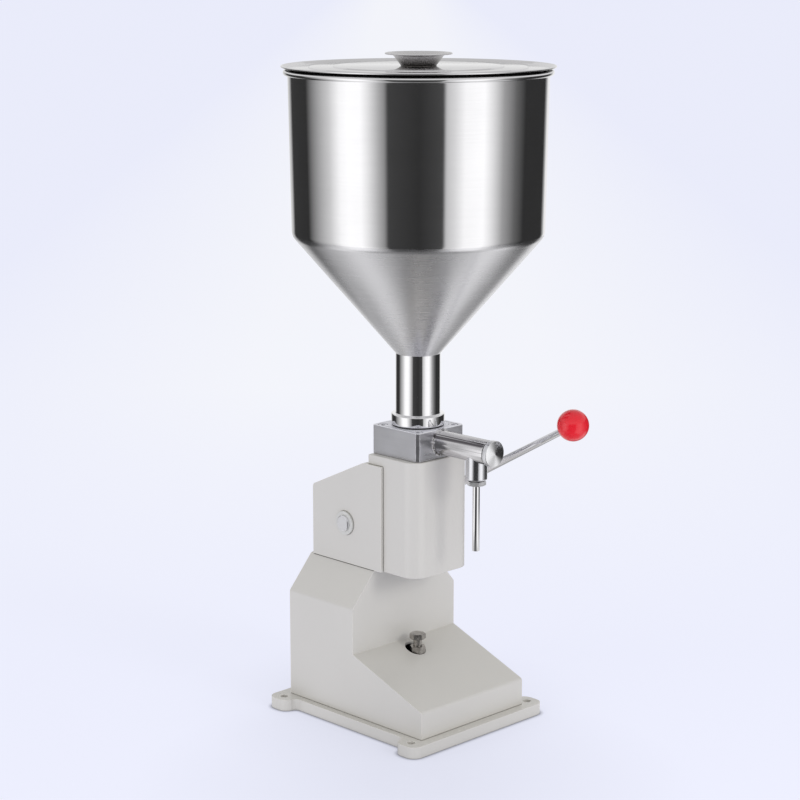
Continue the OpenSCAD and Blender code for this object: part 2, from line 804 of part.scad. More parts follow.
// Cylinder: hangs in the deck by its flange
module cylinder_sleeve() {
    seal_centre_r = (bore_r + cylinder_flange_r) / 2;
    color(steel) translate([0, pump_y, 0]) difference() {
        union() {
            round_bar(cylinder_low_z, column_top_z, cylinder_r);
            round_bar(column_top_z - cylinder_flange_t, column_top_z, cylinder_flange_r);
        }
        round_bar(cylinder_low_z - over, column_top_z + over, bore_r);
        tube_z(column_top_z - 2 * seal_r, column_top_z + over,
            seal_centre_r + seal_r, seal_centre_r - seal_r);
    }
}

module cylinder_seal() {
    seal_centre_r = (bore_r + cylinder_flange_r) / 2;
    color(white_seal) translate([0, pump_y, column_top_z - seal_r])
        rotate_extrude() translate([seal_centre_r, 0]) circle(seal_r, $fn = 24);
}

module rod_guide() {
    color(bronze) translate([0, pump_y, 0])
        tube_z(cylinder_low_z, cylinder_low_z + guide_length, bore_r, rod_d / 2 + running);
}

// Piston and all that rises and falls with it
seal_step = piston_length - 2 * piston_seal_inset - piston_seal_w;
function seal_low_z(i) = piston_low_z + piston_seal_inset + i * seal_step;

module piston() {
    r = bore_r - 2 * running;
    color(steel) translate([0, pump_y, 0]) difference() {
        tube_z(piston_low_z, piston_top_z, r, piston_screw_r);
        for (i = [0, 1]) tube_z(seal_low_z(i), seal_low_z(i) + piston_seal_w,
            r + over, r - piston_seal_depth);
        translate([0, 0, piston_top_z - piston_screw_head_t])
            cylinder(h = piston_screw_head_t + over, r = piston_screw_head_r);
    }
}

module piston_seals() {
    r = bore_r - 2 * running - piston_seal_depth;
    color(white_seal) translate([0, pump_y, 0]) for (i = [0, 1])
        tube_z(seal_low_z(i), seal_low_z(i) + piston_seal_w, bore_r - running, r);
}

module piston_screw() {
    color(steel) translate([0, pump_y, piston_top_z - piston_screw_head_t])
        socket_screw(piston_screw_r, piston_length - piston_screw_head_t + piston_screw_depth - chamfer,
            piston_screw_head_r, piston_screw_head_t);
}

module piston_rod() {
    color(steel) translate([0, pump_y, 0]) difference() {
        union() {
            translate([0, 0, bridge_top_z]) cylinder(h = piston_low_z - bridge_top_z, d = rod_d);
            translate([0, 0, rod_end_z + chamfer])
                cylinder(h = bridge_top_z - rod_end_z - chamfer, d = rod_thread_d);
            translate([0, 0, rod_end_z])
                cylinder(h = chamfer, d1 = rod_thread_d - 2 * chamfer, d2 = rod_thread_d);
        }
        translate([0, 0, piston_low_z - piston_screw_depth])
            cylinder(h = piston_screw_depth + over, r = piston_screw_r);
    }
}

module rod_nut() {
    color(dark_steel) translate([0, pump_y, bridge_low_z - rod_nut_t]) difference() {
        hexagon(rod_nut_flats, rod_nut_t);
        translate([0, 0, -over]) cylinder(h = rod_nut_t + 2 * over, d = rod_thread_d);
    }
}

module yoke_slot() {
    for (y = [slot_low_y + slot_half_height, slot_high_y - slot_half_height])
        translate([0, y, slot_z]) rod_x(-yoke_outer_x - over, yoke_outer_x + over, slot_half_height);
    translate([-yoke_outer_x - over, slot_low_y + slot_half_height, slot_z - slot_half_height])
        cube([2 * (yoke_outer_x + over), slot_high_y - slot_low_y - 2 * slot_half_height,
            2 * slot_half_height]);
}

module yoke() {
    depth = yoke_high_y - yoke_low_y;
    top_z = slot_z + slot_half_height + yoke_margin;
    color(dark_steel) difference() {
        union() {
            translate([-yoke_outer_x, yoke_low_y, bridge_low_z])
                cube([2 * yoke_outer_x, depth, yoke_bridge_t]);
            for (x = [-yoke_outer_x, yoke_inner_x]) translate([x, yoke_low_y, bridge_low_z])
                cube([yoke_plate_t, depth, top_z - bridge_low_z]);
        }
        yoke_slot();
        translate([0, pump_y, bridge_low_z - over]) cylinder(h = yoke_bridge_t + 2 * over, d = rod_thread_d);
    }
}

// Lever: everything that turns with the shaft
module at_shaft(angle = 0) {
    translate([0, shaft_y, shaft_z]) rotate([-angle, 0, 0]) children();
}

module key_shape() {
    translate([-key_length / 2, -key_w / 2, shaft_r - key_h / 2]) cube([key_length, key_w, key_h]);
}

module shaft() {
    color(steel) at_shaft() difference() {
        union() {
            rod_x(shaft_left_x + chamfer, hub_outer_x, shaft_r);
            translate([shaft_left_x, 0, 0]) rotate([0, 90, 0])
                cylinder(h = chamfer, r1 = shaft_r - chamfer, r2 = shaft_r);
        }
        key_shape();
        rod_x(hub_outer_x - hub_bolt_depth, hub_outer_x + over, hub_bolt_r);
        for (side = [0, 180]) rotate([0, side, 0]) difference() {
            rod_x(arm_outer_x, arm_outer_x + ring_t, shaft_r + over);
            rod_x(arm_outer_x - over, arm_outer_x + ring_t + over, shaft_r - ring_groove);
        }
    }
}

module shaft_key() {
    color(dark_steel) at_shaft() key_shape();
}

module retaining_rings() {
    color(dark_steel) at_shaft() for (side = [0, 180]) rotate([0, side, 0]) difference() {
        rod_x(arm_outer_x, arm_outer_x + ring_t, ring_r);
        rod_x(arm_outer_x - over, arm_outer_x + ring_t + over, shaft_r - ring_groove);
        translate([arm_outer_x - over, -ring_groove, -ring_r - over])
            cube([ring_t + 2 * over, 2 * ring_groove, ring_r]);
    }
}

// An arm between two eyes, with straight sides that touch both circles
module arm_outline(length, r1, r2) {
    a = acos((r1 - r2) / length);
    circle(r1);
    translate([length, 0]) circle(r2);
    polygon([r1 * [cos(a), sin(a)], r1 * [cos(a), -sin(a)],
        [length, 0] + r2 * [cos(a), -sin(a)], [length, 0] + r2 * [cos(a), sin(a)]]);
}

module crank_fork() {
    color(dark_steel) at_shaft(crank_half_swing) difference() {
        union() {
            rod_x(-arm_outer_x, arm_outer_x, crank_hub_r);
            for (x = [-arm_outer_x, arm_inner_x]) translate([x, 0, 0]) rotate([90, 0, 90])
                rotate([0, 0, 180]) linear_extrude(crank_arm_t)
                    arm_outline(crank_r, crank_hub_r, crank_eye_r);
        }
        rod_x(-arm_outer_x - over, arm_outer_x + over, shaft_r);
        rotate([crank_half_swing, 0, 0]) key_shape();
        translate([0, -crank_r, 0]) rod_x(-arm_outer_x - over, arm_outer_x + over, pin_stem_r);
    }
}

module crank_pins() {
    color(steel) at_shaft(crank_half_swing) for (side = [0, 180])
        translate([0, -crank_r, 0]) rotate([0, side, 0]) {
            rod_x(yoke_inner_x - gap - pin_head_t, yoke_inner_x - gap, pin_head_r);
            rod_x(yoke_inner_x - gap, arm_inner_x, pin_r);
            rod_x(arm_inner_x, arm_outer_x, pin_stem_r);
        }
}

module lever_hub() {
    color(machined) at_shaft(lever_rest_angle) difference() {
        union() {
            rod_x(hub_inner_x, hub_outer_x, hub_r);
            translate([lever_x, 0, 0]) rod_y(-hub_boss_length, 0, hub_boss_r);
        }
        rod_x(hub_inner_x - over, hub_outer_x + over, shaft_r);
        translate([lever_x, 0, 0])
            rod_y(-hub_boss_length - over, hub_rod_depth - hub_boss_length, lever_root_d / 2);
        translate([lever_x, 0, 0]) rod_y(0, hub_r + over, set_screw_r);
    }
}

module hub_washer() {
    color(steel) at_shaft() difference() {
        rod_x(hub_outer_x, hub_outer_x + hub_washer_t, hub_washer_r);
        rod_x(hub_outer_x - over, hub_outer_x + hub_washer_t + over, hub_bolt_r);
    }
}

module hub_bolt() {
    face_x = hub_outer_x + hub_washer_t;
    color(steel) at_shaft() {
        translate([face_x, 0, 0]) rotate([0, 90, 0]) hexagon(hub_bolt_flats, hub_bolt_head_t);
        rod_x(hub_outer_x - hub_bolt_depth + chamfer, face_x, hub_bolt_r);
    }
}

module hub_set_screw() {
    color(dark_steel) at_shaft(lever_rest_angle) translate([lever_x, 0, 0]) difference() {
        rod_y(shaft_r, shaft_r + set_screw_length - chamfer, set_screw_r);
        translate([0, shaft_r + set_screw_length, 0]) rotate([90, 0, 0])
            cylinder(h = set_screw_length / 2, r = set_screw_r * socket_width_share, $fn = 6);
    }
}

module lever_rod() {
    tip = lever_length - ball_d / 2 + ball_hole_depth;
    start = hub_boss_length - hub_rod_depth;
    color(steel) at_shaft(lever_rest_angle) translate([lever_x, 0, 0]) {
        rod_y(-hub_boss_length, -start, lever_root_d / 2);
        translate([0, -hub_boss_length, 0]) rotate([90, 0, 0])
            cylinder(h = tip - ball_hole_depth - hub_boss_length, d1 = lever_root_d, d2 = lever_tip_d);
        rod_y(-tip, ball_hole_depth - tip, lever_tip_d / 2);
    }
}

module ball_knob() {
    flat_y = sqrt((ball_d / 2) ^ 2 - ball_flat_r ^ 2);
    color(red) at_shaft(lever_rest_angle) translate([lever_x, -lever_length, 0]) difference() {
        sphere(d = ball_d);
        rod_y(flat_y, ball_d, ball_d);
        rod_y(ball_d / 2 - ball_hole_depth, ball_d, lever_tip_d / 2);
    }
}

// Valve block: inlet valve inside, spout in front, threaded stub on top
function cut_corners(w, d, cut) = [[w - cut, -d], [w, cut - d], [w, d - cut], [w - cut, d],
    [cut - w, d], [-w, d - cut], [-w, cut - d], [cut - w, -d]];

module valve_block() {
    spout_port_y = block_front_y - over;
    color(machined) translate([0, pump_y, 0]) difference() {
        union() {
            translate([0, 0, block_z]) linear_extrude(block_height)
                polygon(cut_corners(block_width / 2, block_depth / 2, block_edge));
            round_bar(block_top_z, stub_top_z, stub_r);
        }
        round_bar(block_z - over, stub_top_z + over, chamber_r);
        round_bar(seat_z, stub_top_z + over, seat_r);
        round_bar(block_z - over, block_z + guide_t, guide_r);
        translate([0, 0, spout_z]) rod_y(spout_port_y - pump_y, 0, spout_bore / 2);
        for (p = block_screw_place) translate([p.x, p.y - pump_y, 0]) {
            round_bar(block_z - over, block_top_z, cap_screw_r + screw_clearance);
            round_bar(block_top_z - recess_depth, block_top_z + over, recess_r);
        }
    }
}

module block_screws() {
    color(steel) for (p = block_screw_place) translate([p.x, p.y, block_top_z - recess_depth])
        socket_screw(cap_screw_r, block_screw_length, cap_screw_head_r, cap_screw_head_t);
}

module inlet_seat() {
    color(white_seal) translate([0, pump_y, 0]) tube_z(seat_z, stub_top_z, seat_r, seat_hole_r);
}

module inlet_ball() {
    color(steel) translate([0, pump_y, inlet_ball_z]) sphere(inlet_ball_r);
}

// A spring drawn as the sleeve that its coils fill, from a seat up to where it meets a ball
module spring_sleeve(z0, ball_z, ball_r, coil_r, wire_r) {
    top = ball_z - sqrt(ball_r ^ 2 - (coil_r - wire_r) ^ 2) - ball_gap;
    tube_z(z0, top, coil_r + wire_r, coil_r - wire_r);
}

module inlet_spring() {
    color(steel) translate([0, pump_y, 0]) spring_sleeve(block_z + guide_t, inlet_ball_z,
        inlet_ball_r, inlet_spring_r, inlet_wire_r);
}

module inlet_guide() {
    color(steel) translate([0, pump_y, block_z]) difference() {
        cylinder(h = guide_t, r = guide_r);
        for (i = [0 : guide_holes - 1]) rotate([0, 0, i * 360 / guide_holes])
            translate([guide_hole_ring_r, 0, -over]) cylinder(h = guide_t + 2 * over, r = guide_hole_r);
        translate([0, 0, -over]) cylinder(h = guide_t + 2 * over, r = guide_hole_r);
    }
}

// Spout: a tube welded to the block, closed in front by a cap, with the outlet under it
module spout_tube() {
    color(steel) translate([0, 0, spout_z]) difference() {
        union() {
            rod_y(tube_front_y, block_front_y, spout_r);
            translate([0, block_front_y, 0]) rotate([90, 0, 0])
                cylinder(h = weld_r, r1 = spout_r + weld_r, r2 = spout_r);
        }
        rod_y(tube_front_y - over, block_front_y + over, spout_bore / 2);
        rod_y(tube_front_y - over, tube_front_y + cap_spigot_length, cap_spigot_r);
        translate([0, outlet_y, -spout_d]) cylinder(h = spout_d, r = outlet_passage_r);
    }
}

module spout_cap() {
    r = spout_r + cap_proud;
    color(steel) translate([0, spout_front_y, spout_z]) rotate([-90, 0, 0]) rotate_extrude()
        polygon(concat([[0, 0]], corner([0, 0], [r, cap_crown], [r, cap_t], cap_edge_r),
            [[r, cap_t], [cap_spigot_r, cap_t], [cap_spigot_r, cap_t + cap_spigot_length],
                [0, cap_t + cap_spigot_length]]));
}

module cap_seal() {
    color(black_rubber) translate([0, tube_front_y, spout_z]) rotate([90, 0, 0])
        tube_z(0, cap_seal_t, spout_r - cap_seal_inset, cap_spigot_r);
}

module outlet_body() {
    color(steel) difference() {
        translate([0, outlet_y, 0]) {
            translate([0, 0, outlet_z]) cylinder(h = chamfer, r1 = outlet_d / 2 - chamfer, r2 = outlet_d / 2);
            round_bar(outlet_z + chamfer, spout_z, outlet_d / 2);
        }
        translate([0, 0, spout_z]) rod_y(outlet_y - outlet_d, outlet_y + outlet_d, spout_r);
        translate([0, outlet_y, outlet_z - over])
            cylinder(h = spout_z - outlet_z, r = outlet_passage_r);
        translate([0, outlet_y, outlet_z - over])
            cylinder(h = outlet_seat_z - outlet_z + over, r = outlet_chamber_r);
    }
}

module outlet_ball() {
    color(steel) translate([0, outlet_y, outlet_ball_z]) sphere(outlet_ball_r);
}

module outlet_spring() {
    color(steel) translate([0, outlet_y, 0]) spring_sleeve(shank_top_z, outlet_ball_z,
        outlet_ball_r, outlet_spring_r, outlet_wire_r);
}

module nozzle_seal() {
    color(black_rubber) translate([0, outlet_y, 0])
        tube_z(nut_top_z, outlet_z, nozzle_seal_r, outlet_chamber_r);
}

module nozzle_nut() {
    color(steel) translate([0, outlet_y, 0]) difference() {
        union() {
            translate([0, 0, nut_low_z]) hexagon(nozzle_nut_flats, nozzle_nut_t);
            round_bar(nut_top_z, shank_top_z, outlet_chamber_r);
        }
        round_bar(nut_low_z - over, shank_top_z + over, nozzle_d / 2 - nozzle_wall);
        round_bar(nut_low_z - over, shank_top_z - nozzle_tube_inset, nozzle_root_r);
    }
}

module nozzle_tube() {
    color(steel) translate([0, outlet_y, 0]) difference() {
        union() {
            round_bar(nozzle_z, nut_low_z, nozzle_d / 2);
            round_bar(nozzle_z, shank_top_z - nozzle_tube_inset, nozzle_root_r);
        }
        round_bar(nozzle_z - over, shank_top_z, nozzle_d / 2 - nozzle_wall);
    }
}

// Hopper: a rolled side and a spun cone on a neck whose collar screws onto the block's stub
module hopper_gasket() {
    color(black_rubber) translate([0, pump_y, 0])
        tube_z(block_top_z, collar_z, collar_r - gasket_lip, stub_r);
}

module hopper_neck() {
    web_z = stub_top_z + gap;
    color(steel) translate([0, pump_y, 0]) difference() {
        union() {
            round_bar(collar_z, collar_z + collar_height, collar_r);
            round_bar(collar_z, cone_low_z, neck_r);
        }
        round_bar(collar_z - over, web_z, stub_r);
        round_bar(collar_z, cone_low_z + over, neck_bore_r);
    }
}

// The shell's outside line from the neck up to the rim, and the same line one sheet further in
function shell_line() = [[neck_r, cone_low_z], [hopper_low_r, cone_top_z], [hopper_top_r, hopper_rim_z]];
function shell_inner_line() = let (
    a = shell_line()[0], b = shell_line()[1], c = shell_line()[2],
    na = inward(a, b) * hopper_sheet, nb = inward(b, c) * hopper_sheet)
    [meet(a + na, b - a, [0, cone_low_z], [1, 0]), meet(b + na, b - a, b + nb, c - b),
        meet(c + nb, c - b, [0, hopper_rim_z], [1, 0])];

// The same lines cut level at the weld between the side and the cone
function seam_point(line) = meet(line[1], line[2] - line[1], [0, seam_z], [1, 0]);

module hopper_cone() {
    outer = shell_line();
    inner = shell_inner_line();
    color(steel) translate([0, pump_y, 0]) rotate_extrude($fn = 128) polygon(concat(
        [outer[0]], corner(outer[0], outer[1], outer[2], hopper_round_r), [seam_point(outer)],
        [seam_point(inner)], corner(inner[2], inner[1], inner[0], hopper_round_r - hopper_sheet),
        [inner[0]]));
}

module hopper() {
    outer = shell_line();
    inner = shell_inner_line();
    color(steel) translate([0, pump_y, 0]) {
        rotate_extrude($fn = 128) polygon([seam_point(outer), outer[2], inner[2], seam_point(inner)]);
        translate([0, 0, hopper_rim_z]) rotate_extrude($fn = 128)
            translate([hopper_mouth_r + hopper_bead_r, 0]) circle(hopper_bead_r, $fn = 32);
    }
}

// Lid: a pressed disc with a rolled edge, two steps, and a skirt that fits the hopper's mouth
module lid() {
    bead = lid_r - lid_bead_r;
    skirt_r = hopper_mouth_r - lid_skirt_gap;
    step_r = skirt_r - lid_sheet;
    inner_r = step_r * lid_inner_step_share;
    outer_r = step_r * lid_outer_step_share;
    middle_z = lid_z + lid_rise / 2;
    under = [[knob_screw_r, lid_top_z - lid_sheet], [inner_r, lid_top_z - lid_sheet],
        [inner_r + lid_step_w, middle_z], [outer_r, middle_z], [outer_r + lid_step_w, lid_z], [bead, lid_z]];
    color(steel) translate([0, pump_y, 0]) {
        rotate_extrude($fn = 128) polygon(concat(under,
            [for (i = [len(under) - 1 : -1 : 0]) under[i] + [0, lid_sheet]]));
        translate([0, 0, lid_z + lid_bead_r]) rotate_extrude($fn = 128)
            translate([bead, 0]) circle(lid_bead_r, $fn = 24);
        translate([0, 0, lid_z - lid_skirt_depth]) rotate_extrude($fn = 128)
            translate([step_r, 0]) square([lid_sheet, lid_skirt_depth + lid_sheet]);
    }
}

module lid_knob() {
    rim_z = knob_top_z - knob_rim_r;
    neck = knob_r * knob_neck_share;
    color(steel) translate([0, pump_y, 0]) {
        rotate_extrude() difference() {
            polygon(concat([[0, lid_top_z], [knob_foot_r, lid_top_z]],
                corner([knob_foot_r, lid_top_z], [neck, rim_z - 2 * knob_rim_r],
                    [knob_r - knob_rim_r, rim_z - knob_rim_r], knob_rim_r),
                [[knob_r - knob_rim_r, rim_z - knob_rim_r], [knob_r - knob_rim_r, rim_z + knob_rim_r],
                    [knob_r * knob_dish_foot_share, knob_top_z - knob_dish],
                    [0, knob_top_z - knob_dish]]));
            translate([0, lid_top_z - over]) square([knob_screw_r, knob_screw_depth + over]);
        }
        translate([0, 0, rim_z]) rotate_extrude() translate([knob_r - knob_rim_r, 0])
            circle(knob_rim_r, $fn = 24);
    }
}

module knob_screw() {
    color(steel) translate([0, pump_y, lid_top_z - lid_sheet]) rotate([180, 0, 0])
        socket_screw(knob_screw_r, lid_sheet + knob_screw_depth, knob_screw_head_r, knob_screw_head_t);
}

base_plate();
lower_casing();
casing_screws();
casing_nuts();
stop_post();
post_screw();
adjusting_bolt();
lock_nut();
rear_housing();
housing_screws();
left_bush();
right_bush();
column();
cylinder_sleeve();  // cylinder
cylinder_seal();
rod_guide();
piston();
piston_seals();
piston_screw();
piston_rod();
rod_nut();
yoke();
shaft();
shaft_key();
retaining_rings();
crank_fork();
crank_pins();
lever_hub();
hub_washer();
hub_bolt();
hub_set_screw();
lever_rod();
ball_knob();
valve_block();
block_screws();
inlet_seat();
inlet_ball();
inlet_spring();
inlet_guide();
spout_tube();
spout_cap();
cap_seal();
outlet_body();
outlet_ball();
outlet_spring();
nozzle_seal();
nozzle_nut();
nozzle_tube();
hopper_gasket();
hopper_neck();
hopper_cone();
hopper();
lid();
lid_knob();
knob_screw();
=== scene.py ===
# Looks of the manual paste filling machine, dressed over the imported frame.
# Every length is in metres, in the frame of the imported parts.

import json
import math

import bmesh
import bpy
from mathutils import Matrix, Vector


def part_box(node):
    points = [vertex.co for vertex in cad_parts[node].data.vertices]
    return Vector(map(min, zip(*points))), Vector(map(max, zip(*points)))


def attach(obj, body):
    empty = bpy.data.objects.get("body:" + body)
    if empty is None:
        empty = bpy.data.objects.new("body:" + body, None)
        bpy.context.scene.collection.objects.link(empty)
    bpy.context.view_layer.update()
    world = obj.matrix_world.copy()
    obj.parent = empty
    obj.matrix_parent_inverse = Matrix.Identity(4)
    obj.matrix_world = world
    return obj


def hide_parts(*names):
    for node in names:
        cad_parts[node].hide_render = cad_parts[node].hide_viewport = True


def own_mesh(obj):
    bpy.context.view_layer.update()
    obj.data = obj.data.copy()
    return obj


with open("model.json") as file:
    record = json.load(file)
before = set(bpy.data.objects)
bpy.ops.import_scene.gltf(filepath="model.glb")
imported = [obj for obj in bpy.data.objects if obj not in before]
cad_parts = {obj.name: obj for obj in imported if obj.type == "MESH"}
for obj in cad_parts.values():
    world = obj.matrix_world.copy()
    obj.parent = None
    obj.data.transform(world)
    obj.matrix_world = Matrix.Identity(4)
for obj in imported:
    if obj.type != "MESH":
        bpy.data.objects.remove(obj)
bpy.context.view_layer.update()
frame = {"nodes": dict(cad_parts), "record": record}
MM = 0.001


def middle(low, high):
    return (low + high) / 2


def outer_radius(node):
    low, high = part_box(node)
    return (high.x - low.x) / 2


# Camera at the photograph's angle

CAMERA_PLACE = Vector((-1.6420, -1.6548, 0.8644))
CAMERA_AHEAD = Vector((0.70252, 0.71167, 0.0))
CAMERA_PITCH = math.radians(12.09)
CAMERA_LENS = 95.85
CAMERA_SENSOR = 36.0


def make_camera():
    data = bpy.data.cameras.new("camera")
    data.sensor_width = CAMERA_SENSOR
    data.lens = CAMERA_LENS
    camera = bpy.data.objects.new("camera", data)
    bpy.context.scene.collection.objects.link(camera)
    look = CAMERA_AHEAD * math.cos(CAMERA_PITCH) - Vector((0, 0, math.sin(CAMERA_PITCH)))
    camera.location = CAMERA_PLACE
    camera.rotation_euler = look.to_track_quat("-Z", "Y").to_euler()
    bpy.context.scene.camera = camera


# Node helpers for the materials

OPENNESS_SAMPLES = 8
EDGE_SAMPLES = 6


class Nodes:
    """A material with its node tree and short ways to add what the materials here need."""

    def __init__(self, name):
        self.material = bpy.data.materials.new(name)
        self.material.use_nodes = True
        self.tree = self.material.node_tree
        self.shader = self.tree.nodes["Principled BSDF"]
        self.coords = self.add("ShaderNodeTexCoord").outputs["Object"]

    def add(self, kind, **settings):
        node = self.tree.nodes.new(kind)
        for key, value in settings.items():
            setattr(node, key, value)
        return node

    def link(self, source, target):
        self.tree.links.new(source, target)

    def noise(self, scale, detail=3.0, stretch=(1, 1, 1), roughness=0.55):
        mapping = self.add("ShaderNodeMapping")
        mapping.inputs["Scale"].default_value = stretch
        self.link(self.coords, mapping.inputs["Vector"])
        noise = self.add("ShaderNodeTexNoise")
        noise.inputs["Scale"].default_value = scale
        noise.inputs["Detail"].default_value = detail
        noise.inputs["Roughness"].default_value = roughness
        self.link(mapping.outputs["Vector"], noise.inputs["Vector"])
        return noise.outputs["Fac"]

    def ramp(self, source, *stops):
        ramp = self.add("ShaderNodeValToRGB")
        elements = ramp.color_ramp.elements
        while len(elements) < len(stops):
            elements.new(0.5)
        for element, (place, colour) in zip(elements, stops):
            element.position = place
            element.color = (*colour, 1)
        self.link(source, ramp.inputs["Fac"])
        return ramp.outputs["Color"]

    def between(self, source, low, high, from_low=0.3, from_high=0.7):
        """The source's range mapped to low to high, and held at its ends."""
        spread = self.add("ShaderNodeMapRange")
        spread.inputs["From Min"].default_value = from_low
        spread.inputs["From Max"].default_value = from_high
        spread.inputs["To Min"].default_value = low
        spread.inputs["To Max"].default_value = high
        self.link(source, spread.inputs["Value"])
        return spread.outputs["Result"]

    def bump(self, source, distance, strength=1.0, under=None):
        bump = self.add("ShaderNodeBump")
        bump.inputs["Distance"].default_value = distance
        bump.inputs["Strength"].default_value = strength
        self.link(source, bump.inputs["Height"])
        if under is not None:
            self.link(under, bump.inputs["Normal"])
        return bump.outputs["Normal"]

    def source(self, socket):
        """What is linked into a socket of the shader."""
        return self.shader.inputs[socket].links[0].from_socket

    def math(self, operation, first, second):
        """One number from two, each a socket or a plain value."""
        node = self.add("ShaderNodeMath", operation=operation)
        for socket, value in zip(node.inputs, (first, second)):
            if isinstance(value, bpy.types.NodeSocket):
                self.link(value, socket)
            else:
                socket.default_value = value
        return node.outputs[0]

    def times(self, first, second):
        """One colour or vector times another, channel by channel."""
        node = self.add("ShaderNodeVectorMath", operation="MULTIPLY")
        self.link(first, node.inputs[0])
        self.link(second, node.inputs[1])
        return node.outputs["Vector"]

    def openness(self, reach, own=False):
        """How free the surface is of other surfaces within reach, 0 to 1."""
        node = self.add("ShaderNodeAmbientOcclusion", samples=OPENNESS_SAMPLES, only_local=own)
        node.inputs["Distance"].default_value = reach
        return node.outputs["AO"]

    def edge(self, reach):
        """The surface's direction as if its edges were rounded, and how flat it is, 0 to 1."""
        rounding = self.add("ShaderNodeBevel", samples=EDGE_SAMPLES)
        rounding.inputs["Radius"].default_value = reach
        alike = self.add("ShaderNodeVectorMath", operation="DOT_PRODUCT")
        self.link(rounding.outputs["Normal"], alike.inputs[0])
        self.link(self.add("ShaderNodeNewGeometry").outputs["Normal"], alike.inputs[1])
        return rounding.outputs["Normal"], alike.outputs["Value"]

    def set(self, **values):
        for key, value in values.items():
            socket = self.shader.inputs[key.replace("_", " ")]
            if isinstance(value, bpy.types.NodeSocket):
                self.link(value, socket)
            else:
                socket.default_value = value


def shade(colour, factor):
    return tuple(channel * factor for channel in colour)


def varied(n, colour, spread, scale):
    return n.ramp(n.noise(scale), (0.3, shade(colour, 1 - spread)), (0.7, shade(colour, 1 + spread)))


# Materials

# Seam reach and seam shade colour: painted shade in the seams between pieces
SEAM_REACH = 1.6 * MM
# Edge reaches: painted highlights on the rounded edges of the paint and of the block
PAINT_EDGE = 1.5 * MM
BLOCK_EDGE = 0.8 * MM
LID_SHADE_REACH = 20 * MM
SEAM_SHADE = (0.30, 0.29, 0.27)
WHITE = (1, 1, 1)
STREAK_SHARE = 0.6
# Share of noise mixed into the knob's painted shade by height
GRAIN_SHARE = 0.02
CAP_SLOPE = 0.21

# Ways to stretch a noise: evenly, in rings round Z, or along Y
ALL_ROUND = (1, 1, 1)
RINGS = (0.02, 0.02, 1)
ALONG_Y = (1, 0.02, 1)


def paint_material():
    """Warm white paint, with a painted highlight on its edges and painted shade in the seams against other
    pieces.
    """
    n = Nodes("paint")
    colour = (0.680, 0.659, 0.606)
    # Painted shade: the colour darkens in the seams where other pieces come near.
    seam = n.math("DIVIDE", n.openness(SEAM_REACH), n.openness(SEAM_REACH, own=True))
    dark = n.ramp(seam, (0.50, SEAM_SHADE), (0.86, WHITE))
    # Painted highlight: the colour is paler on the rounded edges.
    flatness = n.edge(PAINT_EDGE)[1]
    painted_edge_highlight = n.between(flatness, 1.14, 1.0, 0.90, 0.995)
    n.set(Base_Color=n.times(n.times(varied(n, colour, 0.012, 9), dark), painted_edge_highlight))
    n.set(Roughness=n.between(n.noise(60), 0.36, 0.46))
    n.set(Coat_Weight=0.35, Coat_Roughness=0.14)
    peel = n.bump(n.noise(420, 2.0), 0.00025, 0.18)
    n.set(Normal=n.bump(n.noise(22, 1.0), 0.0006, 0.12, peel))
    n.set(IOR=1.45)
    return n.material


def metal_material(name, colour, roughness, grain, stretch, depth, spread=0.03, cloud=14, scatter=0.25):
    """Bare metal with streaks and clouds that vary its colour, its roughness and its height.

    Grain and cloud are the noises' scales per metre, depth is the streaks' height in metres, and
    spread and scatter are shares of the colour and of the roughness.
    """
    n = Nodes(name)
    streaks = n.noise(grain, 4.0, stretch, 0.65)
    clouds = n.noise(cloud, 3.0)
    mix = n.add("ShaderNodeMath", operation="MULTIPLY_ADD")
    n.link(streaks, mix.inputs[0])
    mix.inputs[1].default_value = STREAK_SHARE
    n.link(clouds, mix.inputs[2])
    n.set(Metallic=1.0)
    n.set(Base_Color=n.ramp(mix.outputs[0],
                            (0.5, shade(colour, 1 - spread)), (1.0, shade(colour, 1 + spread))))
    n.set(Roughness=n.between(mix.outputs[0],
                              roughness * (1 - scatter), roughness * (1 + scatter), 0.5, 1.05))
    n.set(Normal=n.bump(streaks, depth, 0.5))
    return n


def knob_material(low_z, high_z):
    """Satin steel with painted shade that darkens it towards the knob's foot."""
    n = Nodes("knob_steel")
    axes = n.add("ShaderNodeSeparateXYZ")
    n.link(n.coords, axes.inputs[0])
    height = n.between(axes.outputs["Z"], 0, 1, low_z, high_z)
    # Painted shade: darker towards the foot by height, with a little noise for grain.
    shade_and_grain = n.add("ShaderNodeMath", operation="MULTIPLY_ADD")
    n.link(n.noise(90, 3.0), shade_and_grain.inputs[0])
    shade_and_grain.inputs[1].default_value = GRAIN_SHARE
    n.link(height, shade_and_grain.inputs[2])
    n.set(Metallic=1.0)
    n.set(Base_Color=n.ramp(shade_and_grain.outputs[0], (0.10, (0.08, 0.075, 0.07)), (0.45, (0.34, 0.33, 0.32)),
                            (0.72, (0.66, 0.65, 0.65)), (0.95, (0.80, 0.79, 0.80))))
    n.set(Roughness=n.between(n.noise(300, 2.0), 0.24, 0.34))
    n.set(Normal=n.bump(n.noise(500, 2.0, (0.02, 0.02, 1)), 0.000003, 0.2))
    return n.material


def satin_material():
    n = metal_material("satin_steel", (0.80, 0.795, 0.82), 0.25, 700, RINGS, 0.00006, 0.05)
    tangent = n.add("ShaderNodeTangent", direction_type="RADIAL", axis="Z")
    n.set(Anisotropic=0.5, Anisotropic_Rotation=0.25, Tangent=tangent.outputs["Tangent"])
    return n.material


def rod_material():
    n = Nodes("rod_steel")
    n.set(Metallic=1.0)
    n.set(Base_Color=varied(n, (0.93, 0.93, 0.975), 0.02, 30))
    n.set(Roughness=n.between(n.noise(40), 0.07, 0.10))
    return n.material


